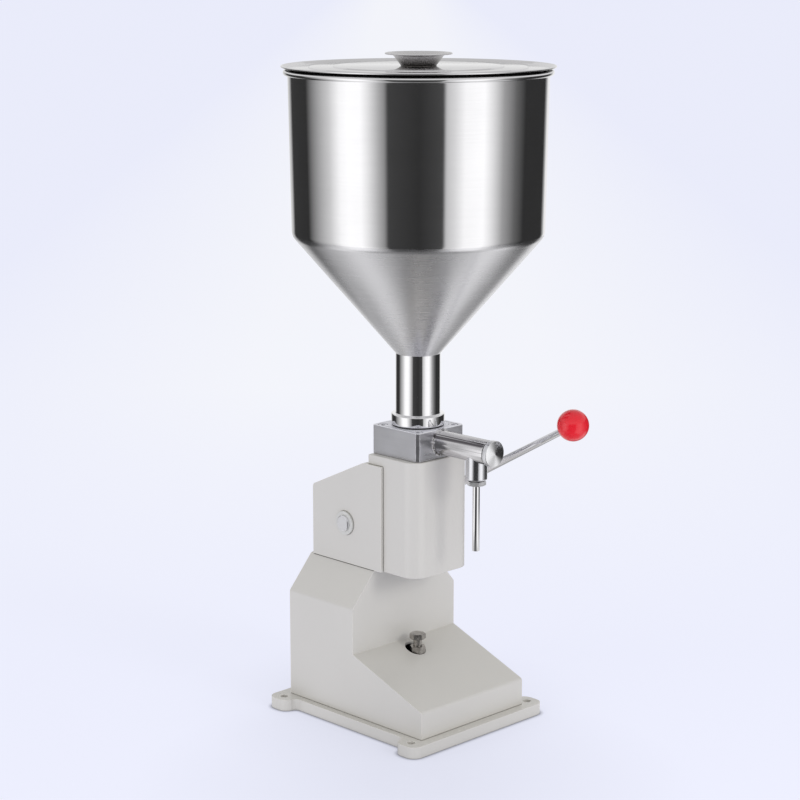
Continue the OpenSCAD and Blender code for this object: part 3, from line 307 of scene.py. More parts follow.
def block_material():
    """Ground steel with rounded edges under a painted highlight; painted light makes its front brighter, its
    other sides a little darker and its top paler, and its top is matt.
    """
    n = metal_material("machined_steel", (0.69, 0.69, 0.73), 0.30, 300, (0.04, 0.04, 1), 0.00003, 0.05, 24)
    facing = n.add("ShaderNodeSeparateXYZ")
    n.link(n.add("ShaderNodeTexCoord").outputs["Normal"], facing.inputs[0])
    # Painted light: the front face lighter, the other sides a little darker and the top lighter.
    front = n.between(facing.outputs["Y"], 1.34, 0.91, -1, 0)
    top = n.between(facing.outputs["Z"], 1.0, 1.45, 0, 1)
    edge, flatness = n.edge(BLOCK_EDGE)
    # Painted highlight: paler on the rounded edges.
    painted_edge_highlight = n.between(flatness, 1.4, 1.0, 0.80, 0.99)
    painted_light = n.math("MULTIPLY", n.math("MULTIPLY", front, top), painted_edge_highlight)
    n.set(Base_Color=n.times(n.source("Base Color"), painted_light))
    n.set(Metallic=n.between(facing.outputs["Z"], 1.0, 0.4, 0, 1))
    blur = n.between(facing.outputs["Z"], 1.0, 1.4, 0, 1)
    n.set(Roughness=n.math("MULTIPLY", n.source("Roughness"), blur))
    n.link(edge, n.source("Normal").node.inputs["Normal"])
    return n.material


def drawn_material():
    """Ground tube with fine dark marks along it."""
    n = metal_material("drawn_steel", (0.74, 0.73, 0.75), 0.19, 300, ALONG_Y, 0.00012, 0.12, 14, 0.4)
    marks = n.ramp(n.noise(230, 2.0, (1, 0.008, 1), 0.5), (0.37, (0.20, 0.19, 0.20)), (0.44, WHITE))
    n.set(Base_Color=n.times(n.source("Base Color"), marks))
    return n.material


def turned_material(centre_z):
    """Steel turned round an axis along Y, on a face that falls away a little from its middle."""
    n = metal_material("turned_steel", (0.86, 0.86, 0.88), 0.17, 900, ALL_ROUND, 0.00001, 0.04)
    tangent = n.add("ShaderNodeTangent", direction_type="RADIAL", axis="Y")
    n.set(Anisotropic=0.7, Anisotropic_Rotation=0.25, Tangent=tangent.outputs["Tangent"])
    place = n.add("ShaderNodeMapping")
    place.inputs["Location"].default_value = (0, 0, -centre_z)
    place.inputs["Scale"].default_value = (1, 0, 1)
    n.link(n.coords, place.inputs["Vector"])
    radius = n.add("ShaderNodeVectorMath", operation="LENGTH")
    n.link(place.outputs["Vector"], radius.inputs[0])
    fall = n.math("MULTIPLY", radius.outputs["Value"], -1.0)
    n.set(Normal=n.bump(fall, CAP_SLOPE, 1.0, n.source("Normal")))
    return n.material


def plain_material(name, colour):
    n = Nodes(name)
    n.set(Base_Color=varied(n, colour, 0.03, 120))
    n.set(Roughness=n.between(n.noise(240), 0.38, 0.5))
    n.set(Normal=n.bump(n.noise(900, 2.0), 0.00003, 0.3))
    return n.material


def underside_material():
    """The lid's steel below, with painted shade where it closes on the hopper."""
    n = metal_material("underside_steel", (0.74, 0.74, 0.76), 0.35, 300, ALL_ROUND, 0.00003, 0.1)
    # Painted shade in the gap where the lid closes on the hopper's rim.
    dark = n.ramp(n.openness(LID_SHADE_REACH), (0.70, (0.04, 0.04, 0.04)), (0.97, WHITE))
    n.set(Base_Color=n.times(n.source("Base Color"), dark))
    return n.material


def rubber_material():
    n = Nodes("black_rubber")
    n.set(Base_Color=varied(n, (0.012, 0.012, 0.013), 0.2, 200))
    n.set(Roughness=n.between(n.noise(300), 0.5, 0.68))
    n.set(Normal=n.bump(n.noise(1400, 2.0), 0.00005, 0.4))
    return n.material


def red_material():
    n = Nodes("red_plastic")
    n.set(Base_Color=varied(n, (0.83, 0.012, 0.026), 0.04, 40))
    n.set(Roughness=n.between(n.noise(90), 0.20, 0.28))
    n.set(Normal=n.bump(n.noise(160, 2.0), 0.00006, 0.15))
    n.set(Coat_Weight=0.8, Coat_Roughness=0.04, Specular_IOR_Level=0.3)
    return n.material


PAINT = paint_material()
POLISHED = metal_material("polished_steel", (0.89, 0.885, 0.90), 0.075, 900, RINGS, 0.00002).material
SATIN = satin_material()
BRUSHED = metal_material("brushed_steel", (0.68, 0.68, 0.71), 0.24, 300, ALONG_Y, 0.00022,
                         spread=0.26, scatter=0.5).material
BAR = metal_material("bar_steel", (0.78, 0.78, 0.82), 0.16, 600, ALL_ROUND, 0.00001, spread=0.04).material
BLOCK = block_material()
DRAWN = drawn_material()
TURNED = turned_material(middle(*(corner.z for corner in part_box("spout_cap"))))
WORN = metal_material("worn_steel", (0.84, 0.84, 0.86), 0.42, 260, ALL_ROUND, 0.00012,
                      spread=0.14, cloud=160).material
SHAFT_STEEL = metal_material("shaft_steel", (0.93, 0.93, 0.97), 0.34, 600, ALL_ROUND, 0.00001,
                             spread=0.04).material
PALE_BUSH = plain_material("pale_bush", (0.66, 0.655, 0.61))
DARK_ZINC = metal_material("dark_zinc", (0.42, 0.40, 0.38), 0.20, 260, ALL_ROUND, 0.00016,
                           spread=0.35, cloud=160, scatter=0.45).material
UNDERSIDE = underside_material()
ROD_STEEL = rod_material()
BRONZE = metal_material("bronze", (0.66, 0.44, 0.22), 0.34, 500, (1, 0.1, 0.1), 0.00004,
                        spread=0.08).material
RUBBER = rubber_material()
WHITE_SEAL = plain_material("white_seal", (0.80, 0.80, 0.76))
RED = red_material()

SLOT_MATERIALS = {
    "painted_steel": PAINT, "polished_steel": POLISHED, "machined_steel": BLOCK, "dark_steel": DARK_ZINC,
    "bronze": BRONZE, "black_rubber": RUBBER, "white_seal": WHITE_SEAL, "red_plastic": RED}
NODE_MATERIALS = {"shaft": SHAFT_STEEL, "left_bush": PALE_BUSH, "right_bush": PALE_BUSH, "nozzle_nut": WORN}

# Rounded edges: the width in millimetres, the segments, and the least angle in degrees
SOFT_EDGES = {
    "base_plate": (1.6, 3, 30), "lower_casing": (1.2, 3, 30), "column": (0.9, 3, 30),
    "rear_housing": (0.9, 3, 30), "valve_block": (0.5, 2, 30), "adjusting_bolt": (0.4, 2, 20),
    "lock_nut": (0.4, 2, 20), "nozzle_nut": (0.4, 2, 20), "shaft": (0.9, 3, 30), "left_bush": (0.4, 2, 30),
    "block_screws": (0.4, 2, 30), "lever_hub": (0.6, 2, 30), "hub_bolt": (0.3, 2, 20),
    "hub_washer": (0.3, 2, 30)}
WELD_REACH = 0.01 * MM
FACE_WEIGHT = 80


# Carried-over CAD nodes: a material each, and softened edges where they show

def dress(node, material):
    obj = frame["nodes"][node]
    if not obj.material_slots:
        obj.data.materials.append(material)
    for place in obj.material_slots:
        place.link = "OBJECT"
        place.material = material


def soften(node, width, segments, angle):
    obj = frame["nodes"][node]
    weld = obj.modifiers.new("weld", "WELD")
    weld.merge_threshold = WELD_REACH
    bevel = obj.modifiers.new("bevel", "BEVEL")
    bevel.width = width
    bevel.segments = segments
    bevel.limit_method = "ANGLE"
    bevel.angle_limit = math.radians(angle)
    bevel.use_clamp_overlap = True
    normals = obj.modifiers.new("normals", "WEIGHTED_NORMAL")
    normals.keep_sharp = False
    normals.weight = FACE_WEIGHT


def dress_nodes():
    for part in frame["record"]["subparts"]:
        dress(part["node"], SLOT_MATERIALS[part["material_slot"]])
    for node, material in NODE_MATERIALS.items():
        dress(node, material)
    for node, (width, segments, angle) in SOFT_EDGES.items():
        soften(node, width * MM, segments, angle)


# Turned pieces: profiles of (radius, height) points turned round an axis

ON_AXIS = 1e-7
LEAST_CORNER = 0.01


def unit(v):
    return v / v.length


def rounded(points, radii, steps=6):
    """An open line of points with an arc of its own radius in each inner corner."""
    line = [Vector(points[0])]
    for i in range(1, len(points) - 1):
        before, here, after = (Vector(points[j]) for j in (i - 1, i, i + 1))
        radius = radii[i]
        u = unit(before - here)
        v = unit(after - here)
        half = math.acos(max(-1, min(1, u.dot(v)))) / 2
        if radius == 0 or half < LEAST_CORNER or half > math.pi / 2 - LEAST_CORNER:
            line.append(here)
            continue
        centre = here + unit(u + v) * radius / math.sin(half)
        start = here + u * radius / math.tan(half) - centre
        end = here + v * radius / math.tan(half) - centre
        first = math.atan2(start.y, start.x)
        turn = math.remainder(math.atan2(end.y, end.x) - first, 2 * math.pi)
        for k in range(steps + 1):
            angle = first + turn * k / steps
            line.append(centre + radius * Vector((math.cos(angle), math.sin(angle))))
    line.append(Vector(points[-1]))
    return line


def arc(centre, radius, first, last, steps):
    """Points on an arc between two angles in degrees."""
    turn = (math.radians(first + (last - first) * k / steps) for k in range(steps + 1))
    return [Vector((centre[0] + radius * math.cos(a), centre[1] + radius * math.sin(a))) for a in turn]


def new_object(name, bm, material, sharp=32):
    mesh = bpy.data.meshes.new(name)
    bmesh.ops.recalc_face_normals(bm, faces=bm.faces)
    bm.to_mesh(mesh)
    bm.free()
    mesh.polygons.foreach_set("use_smooth", [True] * len(mesh.polygons))
    mesh.set_sharp_from_angle(angle=math.radians(sharp))
    mesh.materials.append(material)
    obj = bpy.data.objects.new(name, mesh)
    bpy.context.scene.collection.objects.link(obj)
    return obj


def turned(name, profile, place, material, closed=False, steps=192, bump=None, turn=Matrix()):
    """A body turned round Z at its place, or round another axis given by a rotation.

    Closed joins the profile's two ends, and bump changes a point's radius and height by its angle.
    """
    bm = bmesh.new()
    move = Matrix.Translation(place) @ turn
    rings = []
    for radius, height in profile:
        if radius < ON_AXIS:
            rings.append([bm.verts.new(move @ Vector((0, 0, height)))])
            continue
        ring = []
        for k in range(steps):
            angle = 2 * math.pi * k / steps
            r, h = (radius, height) if bump is None else bump(radius, height, angle)
            ring.append(bm.verts.new(move @ Vector((r * math.cos(angle), r * math.sin(angle), h))))
        rings.append(ring)
    pairs = list(zip(rings, rings[1:]))
    if closed:
        pairs.append((rings[-1], rings[0]))
    for low, high in pairs:
        for k in range(steps):
            m = (k + 1) % steps
            corners = [low[k % len(low)], low[m % len(low)], high[m % len(high)], high[k % len(high)]]
            corners = list(dict.fromkeys(corners))
            if len(corners) > 2:
                bm.faces.new(corners)
    return new_object(name, bm, material)


def finish_piece(obj, slot, body, *nodes):
    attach(obj, body)
    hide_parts(*nodes)


# Hopper, neck and lid

HOPPER_SHEET = 1.5 * MM
HOPPER_STEPS = 256
RIM_R = 3.2 * MM
SHOULDER_R = 14 * MM
SHOULDER_HEIGHT = 132 * MM
LIFT_OVER_SHOULDER = 4 * MM
SATIN_OVER_SHOULDER = 2 * MM
BARREL_FOOT_R = 138.4 * MM
NECK_R = 25 * MM
NECK_BORE_R = 23 * MM
NECK_FOOT_R = 26 * MM
PUMP_PLACE = Vector((0, middle(*(corner.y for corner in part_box("hopper_neck"))), 0))


def make_hopper():
    """One shell for the barrel and the cone, with a rolled rim at its top."""
    foot_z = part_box("hopper_cone")[0].z
    rim_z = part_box("hopper")[1].z - RIM_R
    shoulder_z = foot_z + SHOULDER_HEIGHT
    top_r = outer_radius("hopper") + HOPPER_SHEET - 2 * RIM_R
    outer = rounded([(NECK_R, foot_z), (BARREL_FOOT_R, shoulder_z), (top_r, rim_z - RIM_R)],
                    [0, SHOULDER_R, 0], steps=14)
    cone_lift = 0.6 * HOPPER_SHEET
    inner = [Vector((p.x - HOPPER_SHEET, p.y + cone_lift * (p.y < shoulder_z + LIFT_OVER_SHOULDER)))
             for p in reversed(outer)]
    inner[-1].y = foot_z
    inner[-1].x = NECK_BORE_R
    rim_centre = (top_r - HOPPER_SHEET + RIM_R, rim_z)
    rim = arc(rim_centre, RIM_R, 250, 540, steps=28)
    profile = outer + rim + inner
    piece = turned("hopper_shell", profile, PUMP_PLACE, POLISHED, closed=True, steps=HOPPER_STEPS)
    piece.data.materials.append(SATIN)
    for face in piece.data.polygons:
        if face.center.z < shoulder_z + SATIN_OVER_SHOULDER:
            face.material_index = 1
    finish_piece(piece, "polished_steel", "root", "hopper", "hopper_cone")


def make_neck():
    """The neck's tube with its collar, and a wider bore below."""
    low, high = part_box("hopper_neck")
    collar_r = outer_radius("hopper_neck")
    collar_top = low.z + 12.2 * MM
    web_z = low.z + 8.2 * MM
    profile = rounded([
        (NECK_FOOT_R, low.z), (collar_r, low.z), (collar_r, collar_top), (NECK_R, collar_top),
        (NECK_R, high.z), (NECK_BORE_R, high.z), (NECK_BORE_R, web_z), (NECK_FOOT_R, web_z)],
        [0, 1.0 * MM, 1.6 * MM, 1.0 * MM, 0, 0, 0, 0])
    piece = turned("hopper_neck_tube", profile, PUMP_PLACE, POLISHED, closed=True)
    finish_piece(piece, "polished_steel", "root", "hopper_neck")


def make_lid():
    """The lid's disc with two steps, its rolled edge and the skirt that centres it in the rim."""
    low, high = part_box("lid")
    lid_r = outer_radius("lid")
    sheet = 1.2 * MM
    skirt_r = 137.5 * MM
    skirt_h = 8 * MM
    roll_r = 1.0 * MM
    step_w = 0.6 * MM
    step_r = 0.3 * MM
    under_z = low.z + skirt_h
    outer_z = under_z + sheet
    ring_z = outer_z + 1 * MM
    disc_z = outer_z + 2 * MM
    disc_r = 0.67 * skirt_r
    ring_r = 0.86 * skirt_r
    top_line = rounded([
        (0, disc_z), (disc_r, disc_z), (disc_r + step_w, ring_z), (ring_r, ring_z),
        (ring_r + step_w, outer_z), (lid_r - 5 * roll_r, outer_z),
        (lid_r - 2 * roll_r, high.z - 0.9 * roll_r)],
        [0, step_r, step_r, step_r, step_r, 0.8 * MM, 0])
    edge = arc((lid_r - roll_r, high.z - roll_r), roll_r, 160, -120, steps=24)
    under = [Vector(p) for p in (
        (lid_r - 3 * roll_r, high.z - 2 * roll_r), (lid_r - 6 * roll_r, under_z),
        (skirt_r + sheet, under_z), (skirt_r + sheet, low.z), (skirt_r, low.z), (skirt_r, under_z),
        (0, under_z + 1 * MM))]
    above = top_line + edge
    piece = turned("lid_disc", above + under, PUMP_PLACE, POLISHED, steps=HOPPER_STEPS)
    piece.data.materials.append(UNDERSIDE)
    last_above = HOPPER_STEPS * (len(above) - 1) + 1
    for face in piece.data.polygons:
        if max(face.vertices) > last_above:
            face.material_index = 1
    finish_piece(piece, "polished_steel", "lid", "lid")


def make_lid_knob():
    """A knob that widens from its foot to a lip round a shallow dish."""
    low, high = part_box("lid_knob")
    knob_r = outer_radius("lid_knob")
    foot_r = 19.4 * MM
    foot_h = 0.6 * MM
    lip = 0.9 * MM
    dish_r = 0.62 * knob_r
    dish_z = high.z - 3.5 * MM
    waist_r = 0.755 * knob_r
    top_line = rounded([
        (0, dish_z), (dish_r, dish_z), (knob_r - 2 * lip, high.z - 0.5 * lip)], [0, 9 * MM, 0], steps=10)
    edge = arc((knob_r - lip, high.z - lip), lip, 110, -80, steps=14)
    under = rounded([
        (knob_r - 2 * lip, high.z - 2 * lip), (waist_r, high.z - 3 * lip), (foot_r, low.z + foot_h),
        (foot_r, low.z), (0, low.z)], [0, 2 * MM, 0.4 * MM, 0, 0], steps=8)
    piece = turned("lid_knob_dish", top_line + edge + under, PUMP_PLACE, knob_material(low.z, high.z))
    finish_piece(piece, "polished_steel", "lid", "lid_knob")


# Spout, outlet and nozzle

TURN_TO_FRONT = Matrix.Rotation(math.radians(90), 4, "X")
SPOUT_R = 13.5 * MM
WELD = 2.6 * MM
WELD_SHARE = 0.75
RIPPLE = 0.5 * MM
RIPPLE_REACH = 1.6 * WELD


def make_spout():
    """The spout's tube with its uneven weld at the block and a groove in front, and its cap."""
    cap_low, cap_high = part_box("spout_cap")
    root_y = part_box("valve_block")[0].y
    spout_z = middle(cap_low.z, cap_high.z)
    length = root_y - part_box("spout_tube")[0].y

    def ripple(radius, height, angle):
        near = max(0.0, 1 - height / RIPPLE_REACH)
        wave = RIPPLE * near * (math.sin(19 * angle) + 0.6 * math.sin(31 * angle + 1.3))
        return radius + wave, height + 0.4 * wave

    weld = [Vector((SPOUT_R + WELD * WELD_SHARE, 0))]
    weld += [Vector((SPOUT_R + WELD * (1 - math.sin(a)) * WELD_SHARE, WELD * (1 - math.cos(a)) + 0.3 * MM))
             for a in (math.radians(90 * k / 8) for k in range(9))]
    side = [Vector((SPOUT_R, height)) for height in (WELD * 1.8, length * 0.5)]
    groove_r = SPOUT_R - 2.4 * MM
    bore_r = 8 * MM
    front = [Vector(p) for p in (
        (SPOUT_R, length - 3.2 * MM), (SPOUT_R - 0.5 * MM, length - 1.3 * MM),
        (groove_r, length - 1.1 * MM), (groove_r, length), (bore_r, length), (bore_r, 0))]
    piece = turned("spout_body", weld + side + front, Vector((0, root_y, spout_z)), DRAWN,
                   closed=True, bump=ripple, turn=TURN_TO_FRONT)
    finish_piece(piece, "polished_steel", "root", "spout_tube")

    cap_r = outer_radius("spout_cap")
    plug_r = 10 * MM
    plug_h = 8 * MM
    depth = 6 * MM
    crown = 0.9 * MM
    face_h = depth + 0.5 * MM
    face = rounded([
        (0, face_h), (cap_r, face_h - crown), (cap_r, 0), (plug_r, 0), (plug_r, -plug_h), (0, -plug_h)],
        [0, 0.7 * MM, 0.5 * MM, 0, 0, 0], steps=8)
    cap = turned("spout_cap_disc", face, Vector((0, cap_low.y + depth, spout_z)), TURNED, turn=TURN_TO_FRONT)
    cap.data.materials.append(BRUSHED)
    for part in cap.data.polygons:
        if part.center.y > cap_low.y + crown + 0.3 * MM:
            part.material_index = 1
    finish_piece(cap, "polished_steel", "root", "spout_cap")


def make_outlet():
    """The short tube under the spout, with the bore for its valve and a wider one for the nut."""
    low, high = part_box("outlet_body")
    outlet_r = outer_radius("outlet_body")
    place = Vector((0, middle(low.y, high.y), 0))
    thread_r = 8.5 * MM
    thread_top = low.z + 14 * MM
    bore_r = 5 * MM
    top_z = high.z + 2 * MM
    profile = rounded([
        (thread_r, low.z), (outlet_r, low.z), (outlet_r, top_z), (bore_r, top_z), (bore_r, thread_top),
        (thread_r, thread_top)], [0, 1.8 * MM, 0, 0, 0, 0], steps=8)
    piece = turned("outlet_tube", profile, place, BAR, closed=True, steps=128)
    finish_piece(piece, "polished_steel", "root", "outlet_body")


def make_nozzle():
    """The nozzle's pipe, a little thinner where it goes into the nut."""
    low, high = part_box("nozzle_tube")
    nozzle_r = outer_radius("nozzle_tube")
    bore_r = nozzle_r - 1 * MM
    shank_r = nozzle_r - 0.3 * MM
    shank_z = high.z - 10 * MM
    place = Vector((0, middle(low.y, high.y), 0))
    profile = rounded([
        (bore_r, high.z), (bore_r, low.z), (nozzle_r, low.z), (nozzle_r, shank_z), (shank_r, shank_z),
        (shank_r, high.z)], [0, 0.25 * MM, 0.35 * MM, 0, 0, 0], steps=4)
    piece = turned("nozzle_pipe", profile, place, POLISHED, closed=True, steps=96)
    finish_piece(piece, "polished_steel", "root", "nozzle_tube")


# Valve springs: wound wire

COIL_STEPS = 32
WIRE_SIDES = 10


def make_spring(name, node, wire_r, turns):
    """A spring with one closed turn at each end, wound up from its low end."""
    low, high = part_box(node)
    centre_x = middle(low.x, high.x)
    centre_y = middle(low.y, high.y)
    coil_r = outer_radius(node) - wire_r
    height = high.z - low.z
    closed = 2.1 * wire_r
    pitch = (height - 2 * wire_r - 2 * closed) / (turns - 2)
    bm = bmesh.new()
    rings = []
    for k in range(turns * COIL_STEPS + 1):
        turn = k / COIL_STEPS
        rise = closed * (min(turn, 1) + max(turn - turns + 1, 0)) + pitch * max(0, min(turn, turns - 1) - 1)
        angle = 2 * math.pi * turn
        ring = []
        for side in range(WIRE_SIDES):
            b = 2 * math.pi * side / WIRE_SIDES
            r = coil_r + wire_r * math.cos(b)
            z = low.z + wire_r + rise + wire_r * math.sin(b)
            ring.append(bm.verts.new((centre_x + r * math.cos(angle), centre_y + r * math.sin(angle), z)))
        rings.append(ring)
    for first, second in zip(rings, rings[1:]):
        for side in range(WIRE_SIDES):
            after = (side + 1) % WIRE_SIDES
            bm.faces.new((first[side], first[after], second[after], second[side]))
    bm.faces.new(rings[0])
    bm.faces.new(rings[-1])
    spring = new_object(name, bm, BAR)
    finish_piece(spring, "machined_steel", "root", node)
    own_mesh(spring)


# Lever rod and ball

ROD_ROOT_R = 5.5 * MM
ROD_TIP_R = 3.9 * MM


def lever_axis():
    """Where the lever's line starts on the shaft's axis, its direction, its length and the ball's radius."""
    hub_low, hub_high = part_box("lever_hub")
    shaft_low, shaft_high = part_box("shaft")
    ball_low, ball_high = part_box("ball_knob")
    start = Vector((middle(hub_low.x, hub_high.x), middle(shaft_low.y, shaft_high.y),
                    middle(shaft_low.z, shaft_high.z)))
    ball_r = (ball_high.x - ball_low.x) / 2
    end = Vector((start.x, ball_low.y + ball_r, ball_high.z - ball_r))
    return start, unit(end - start), (end - start).length, ball_r


def make_lever():
    """The red ball, flat where the rod goes in, and the rod, which narrows from the hub to the ball."""
    start, along, length, ball_r = lever_axis()
    turn = along.to_track_quat("Z", "X").to_matrix().to_4x4()
    flat_r = 7 * MM
    flat_h = math.sqrt(ball_r ** 2 - flat_r ** 2)
    flat_angle = math.degrees(math.atan2(-flat_h, flat_r))
    ball_line = arc((0, length), ball_r, 90, flat_angle, steps=64)
    ball_line[0].x = 0
    neck_h = length - flat_h
    neck = rounded([tuple(ball_line[-1]), (ROD_TIP_R, neck_h), (ROD_TIP_R, neck_h + 3 * MM)],
                   [0, 0.5 * MM, 0], steps=4)
    ball = turned("ball_grip", ball_line + neck[1:], start, RED, steps=128, turn=turn)
    ball.visible_glossy = False
    finish_piece(ball, "red_plastic", "lever", "ball_knob")

    foot_h = 18 * MM
    root_h = 34 * MM
    ball_h = length - ball_r
    tip_h = ball_h + 11 * MM
    rod_line = [Vector(p) for p in (
        (0, foot_h), (ROD_ROOT_R, foot_h), (ROD_ROOT_R, root_h), (ROD_TIP_R, ball_h - 1 * MM),
        (ROD_TIP_R, tip_h), (0, tip_h))]
    rod = turned("lever_bar", rod_line, start, ROD_STEEL, steps=96, turn=turn)
    finish_piece(rod, "polished_steel", "lever", "lever_rod")


# Floor, light and the reflected studio

SKY_SEEN = (0.842, 0.859, 0.982)
SKY_LIGHT = (0.95, 0.96, 1.0)
SKY_LOW = 0.80
SKY_HIGH = 0.54

FLOOR_COLOUR = (0.80, 0.81, 0.92)
FLOOR_GLOW = (0.860, 0.877, 1.0)
FLOOR_GLOW_BEHIND = (0.955, 0.965, 1.0)
FLOOR_STRENGTH = 1.125
GLOW_SHARE = 0.7
FLOOR_SIZE = 90
FLOOR_DROP = 0.2 * MM
SHADE_REACH_WIDE = 0.16
SHADE_REACH_NEAR = 6 * MM
FRONT_SHADE_OUT = 0.06


def make_world():
    """A sky that lights the machine, and an even colour where it is seen or reflected."""
    world = bpy.data.worlds.new("studio")
    bpy.context.scene.world = world
    world.use_nodes = True
    tree = world.node_tree
    tree.nodes.clear()
    path = tree.nodes.new("ShaderNodeLightPath")
    first = tree.nodes.new("ShaderNodeMath")
    second = tree.nodes.new("ShaderNodeMath")
    second.use_clamp = True
    tree.links.new(path.outputs["Is Camera Ray"], first.inputs[0])
    tree.links.new(path.outputs["Is Glossy Ray"], first.inputs[1])
    tree.links.new(first.outputs[0], second.inputs[0])
    tree.links.new(path.outputs["Is Transmission Ray"], second.inputs[1])
    light = tree.nodes.new("ShaderNodeBackground")
    light.inputs["Color"].default_value = (*SKY_LIGHT, 1)
    coords = tree.nodes.new("ShaderNodeTexCoord")
    axes = tree.nodes.new("ShaderNodeSeparateXYZ")
    fall = tree.nodes.new("ShaderNodeMapRange")
    fall.inputs["To Min"].default_value = SKY_LOW
    fall.inputs["To Max"].default_value = SKY_HIGH
    tree.links.new(coords.outputs["Generated"], axes.inputs[0])
    tree.links.new(axes.outputs["Z"], fall.inputs["Value"])
    tree.links.new(fall.outputs["Result"], light.inputs["Strength"])
    seen = tree.nodes.new("ShaderNodeBackground")
    seen.inputs["Color"].default_value = (*SKY_SEEN, 1)
    mix = tree.nodes.new("ShaderNodeMixShader")
    tree.links.new(second.outputs[0], mix.inputs["Fac"])
    tree.links.new(light.outputs[0], mix.inputs[1])
    tree.links.new(seen.outputs[0], mix.inputs[2])
    output = tree.nodes.new("ShaderNodeOutputWorld")
    tree.links.new(mix.outputs[0], output.inputs["Surface"])


def make_floor():
    """A floor that mostly glows: painted paler behind the machine, with painted shadow round its plate and
    in front.
    """
    n = Nodes("floor")
    diffuse = n.add("ShaderNodeBsdfDiffuse")
    diffuse.inputs["Color"].default_value = (*FLOOR_COLOUR, 1)

    def measure(operation, other):
        node = n.add("ShaderNodeVectorMath", operation=operation)
        node.inputs[1].default_value = other
        n.link(n.coords, node.inputs[0])
        return node.outputs["Value"]

    # Painted light: the glow is paler behind the machine.
    behind = n.between(measure("DOT_PRODUCT", CAMERA_AHEAD), 0, 1, 0.2, 1.8)
    aside = n.math("ABSOLUTE", measure("DOT_PRODUCT", (CAMERA_AHEAD.y, -CAMERA_AHEAD.x, 0)), 0)
    near = n.between(aside, 1, 0, 0.3, 1.1)
    colour = n.ramp(n.math("MULTIPLY", behind, near), (0.0, FLOOR_GLOW), (1.0, FLOOR_GLOW_BEHIND))

    # Painted shadow: the glow dims round the plate, at its edge and in a pool in front.
    plate_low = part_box("base_plate")[0]
    front_place = Vector((plate_low.x, plate_low.y, 0)) - FRONT_SHADE_OUT * CAMERA_AHEAD
    wide_shade = n.between(n.openness(SHADE_REACH_WIDE), 0.86, 1.0, 0.5, 1.0)
    near_shade = n.between(n.openness(SHADE_REACH_NEAR), 0.30, 1.0, 0.5, 0.95)
    front_shade = n.between(measure("DISTANCE", front_place), 0.87, 1.0, 0.04, 0.30)
    strength = n.math("MULTIPLY", n.math("MULTIPLY", wide_shade, near_shade), front_shade)

    glow = n.add("ShaderNodeEmission")
    n.link(colour, glow.inputs["Color"])
    n.link(n.math("MULTIPLY", strength, FLOOR_STRENGTH), glow.inputs["Strength"])
    mix = n.add("ShaderNodeMixShader")
    mix.inputs["Fac"].default_value = GLOW_SHARE
    n.link(diffuse.outputs[0], mix.inputs[1])
    n.link(glow.outputs[0], mix.inputs[2])
    n.link(mix.outputs[0], n.tree.nodes["Material Output"].inputs["Surface"])

    bm = bmesh.new()
    bmesh.ops.create_grid(bm, x_segments=4, y_segments=4, size=FLOOR_SIZE)
    floor = new_object("floor", bm, n.material)
    floor.location.z = -FLOOR_DROP


# Brightness of the studio that the metal reflects, by the angle in degrees from the camera's side.
# Angles to the left of the picture are negative.
WALL = [(-180, 0.95), (-166, 0.80), (-152, 0.50), (-144, 0.04), (-112, 0.03), (-104, 0.20), (-96, 0.36),
        (-82, 0.64), (-70, 1.04), (-62, 1.12), (-50, 1.10), (-44, 0.88), (-34, 0.45), (-29, 0.28),
        (-26, 0.05),
        (0, 0.03), (20, 0.06), (23, 0.58), (30, 0.74), (39, 1.04), (56, 1.12), (64, 0.84), (76, 0.36),
        (90, 0.13), (103, 0.03), (140, 0.03), (146, 0.35), (152, 0.85), (180, 0.95)]
FRONT_WALL = [stop for stop in WALL if -75 < stop[0] < 70]
GROUND_LEFT = [(-180, 0.70), (-155, 0.66), (-142, 0.46), (-128, 0.38), (-113, 0.50), (-101, 0.72),
               (-92, 0.90), (-82, 0.82)]
GROUND_RIGHT = [(86, 0.66), (97, 0.95), (105, 0.98), (115, 0.58), (128, 0.30), (145, 0.36), (160, 0.55),
                (180, 0.70)]
GROUND = GROUND_LEFT + [(-60, 0.42), (-30, 0.22), (0, 0.15), (30, 0.20), (60, 0.36)] + GROUND_RIGHT
GROUND_EDGE = GROUND_LEFT + FRONT_WALL + GROUND_RIGHT
HIGH_WALL = [(-180, 0.68), (180, 0.68)]
CEILING = [(-180, 0.55), (180, 0.55)]
STUDIO_R = 1.45
STUDIO_TOP = 1.5
STUDIO_STEPS = 720
STUDIO_FLOOR = 0.001
CEILING_TOP = 2.1
WALL_EVEN_TO = 0.72
WALL_HIGH_FROM = 0.88
GROUND_HOLE_R = 0.02
GROUND_EVEN_TO = 0.46
GROUND_EDGE_R = 0.58
GROUND_WALL_FROM = 0.92
CEILING_HOLE_R = 0.05


def glow_at(stops, angle):
    """The brightness at an angle, from stops of (angle, brightness)."""
    for (a, low), (b, high) in zip(stops, stops[1:]):
        if a <= angle <= b:
            return low + (high - low) * (angle - a) / (b - a)
    return stops[0][1]


def only_reflected(obj):
    obj.visible_camera = False
    obj.visible_diffuse = False
    obj.visible_shadow = False
    obj.visible_transmission = False
    obj.visible_volume_scatter = False


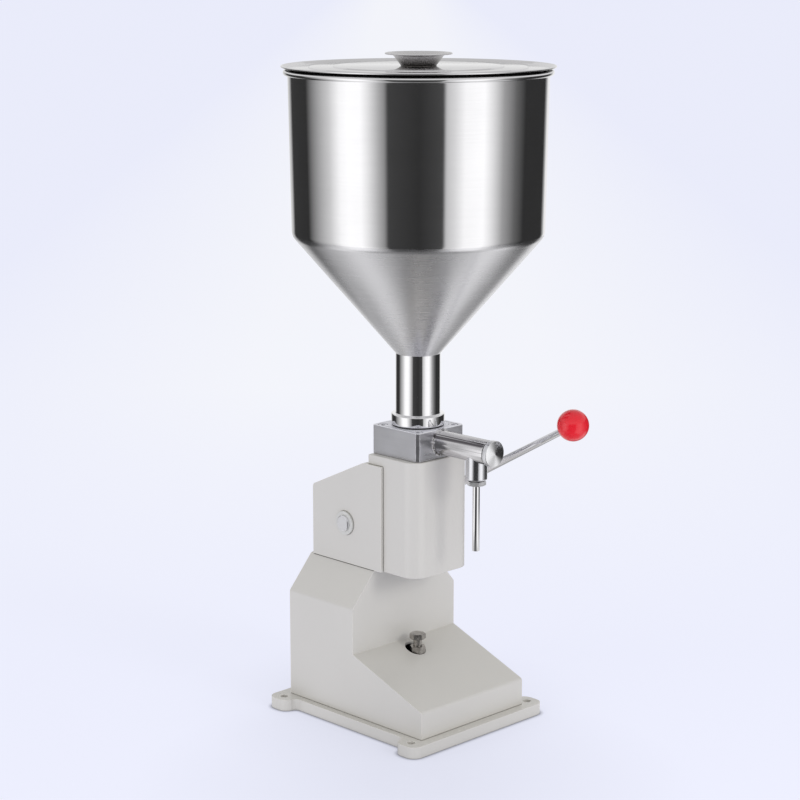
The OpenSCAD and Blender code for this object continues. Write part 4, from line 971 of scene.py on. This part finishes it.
def studio_part(name, rings, material):
    """A glowing surface round the machine through rings of (radius, height, stops)."""
    to_camera = math.atan2(-CAMERA_AHEAD.y, -CAMERA_AHEAD.x)
    bm = bmesh.new()
    layer = bm.verts.layers.float_color.new("glow")
    made = []
    for radius, height, stops in rings:
        ring = []
        for k in range(STUDIO_STEPS):
            angle = -180 + 360 * k / STUDIO_STEPS
            a = to_camera + math.radians(angle)
            v = bm.verts.new((radius * math.cos(a), PUMP_PLACE.y + radius * math.sin(a), height))
            value = glow_at(stops, angle)
            v[layer] = (value, value, value, 1)
            ring.append(v)
        made.append(ring)
    for low, high in zip(made, made[1:]):
        for k in range(STUDIO_STEPS):
            m = (k + 1) % STUDIO_STEPS
            bm.faces.new((low[k], low[m], high[m], high[k]))
    part = new_object(name, bm, material, sharp=180)
    only_reflected(part)


def make_studio():
    n = Nodes("studio_wall")
    colour = n.add("ShaderNodeAttribute", attribute_name="glow")
    glow = n.add("ShaderNodeEmission")
    n.link(colour.outputs["Color"], glow.inputs["Color"])
    n.link(glow.outputs[0], n.tree.nodes["Material Output"].inputs["Surface"])
    studio_part("studio_wall", [
        (STUDIO_R, 0, WALL), (STUDIO_R, WALL_EVEN_TO, WALL), (STUDIO_R, WALL_HIGH_FROM, HIGH_WALL),
        (STUDIO_R, STUDIO_TOP, HIGH_WALL)], n.material)
    studio_part("studio_ground", [
        (GROUND_HOLE_R, STUDIO_FLOOR, GROUND), (GROUND_EVEN_TO, STUDIO_FLOOR, GROUND),
        (GROUND_EDGE_R, STUDIO_FLOOR, GROUND_EDGE), (GROUND_WALL_FROM, STUDIO_FLOOR, WALL),
        (STUDIO_R, STUDIO_FLOOR, WALL)], n.material)
    studio_part("studio_ceiling", [
        (STUDIO_R, STUDIO_TOP, CEILING), (CEILING_HOLE_R, CEILING_TOP, CEILING)], n.material)


def area_light(name, place, target, size, energy, colour=WHITE):
    """A round lamp that the metal doesn't reflect."""
    data = bpy.data.lights.new(name, "AREA")
    data.shape = "DISK"
    data.size = size
    data.energy = energy
    data.color = colour
    light = bpy.data.objects.new(name, data)
    light.location = place
    light.rotation_euler = (Vector(target) - light.location).to_track_quat("-Z", "Y").to_euler()
    light.visible_glossy = False
    bpy.context.scene.collection.objects.link(light)


def make_lights():
    area_light("front_light", place=(0.15, -2.0, 1.1), target=(0, 0, 0.15), size=0.7, energy=9)
    area_light("left_light", place=(-2.6, 0.3, 0.9), target=(0, 0, 0.25), size=2.0, energy=11,
               colour=(0.97, 0.97, 1.0))


make_camera()
dress_nodes()
make_hopper()
make_neck()
make_lid()
make_lid_knob()
make_spout()
make_outlet()
make_nozzle()
make_spring("inlet_coil", "inlet_spring", wire_r=0.7 * MM, turns=6)
make_spring("outlet_coil", "outlet_spring", wire_r=0.5 * MM, turns=7)
make_lever()
make_world()
make_floor()
make_studio()
make_lights()

bpy.context.scene.view_settings.view_transform = "Standard"
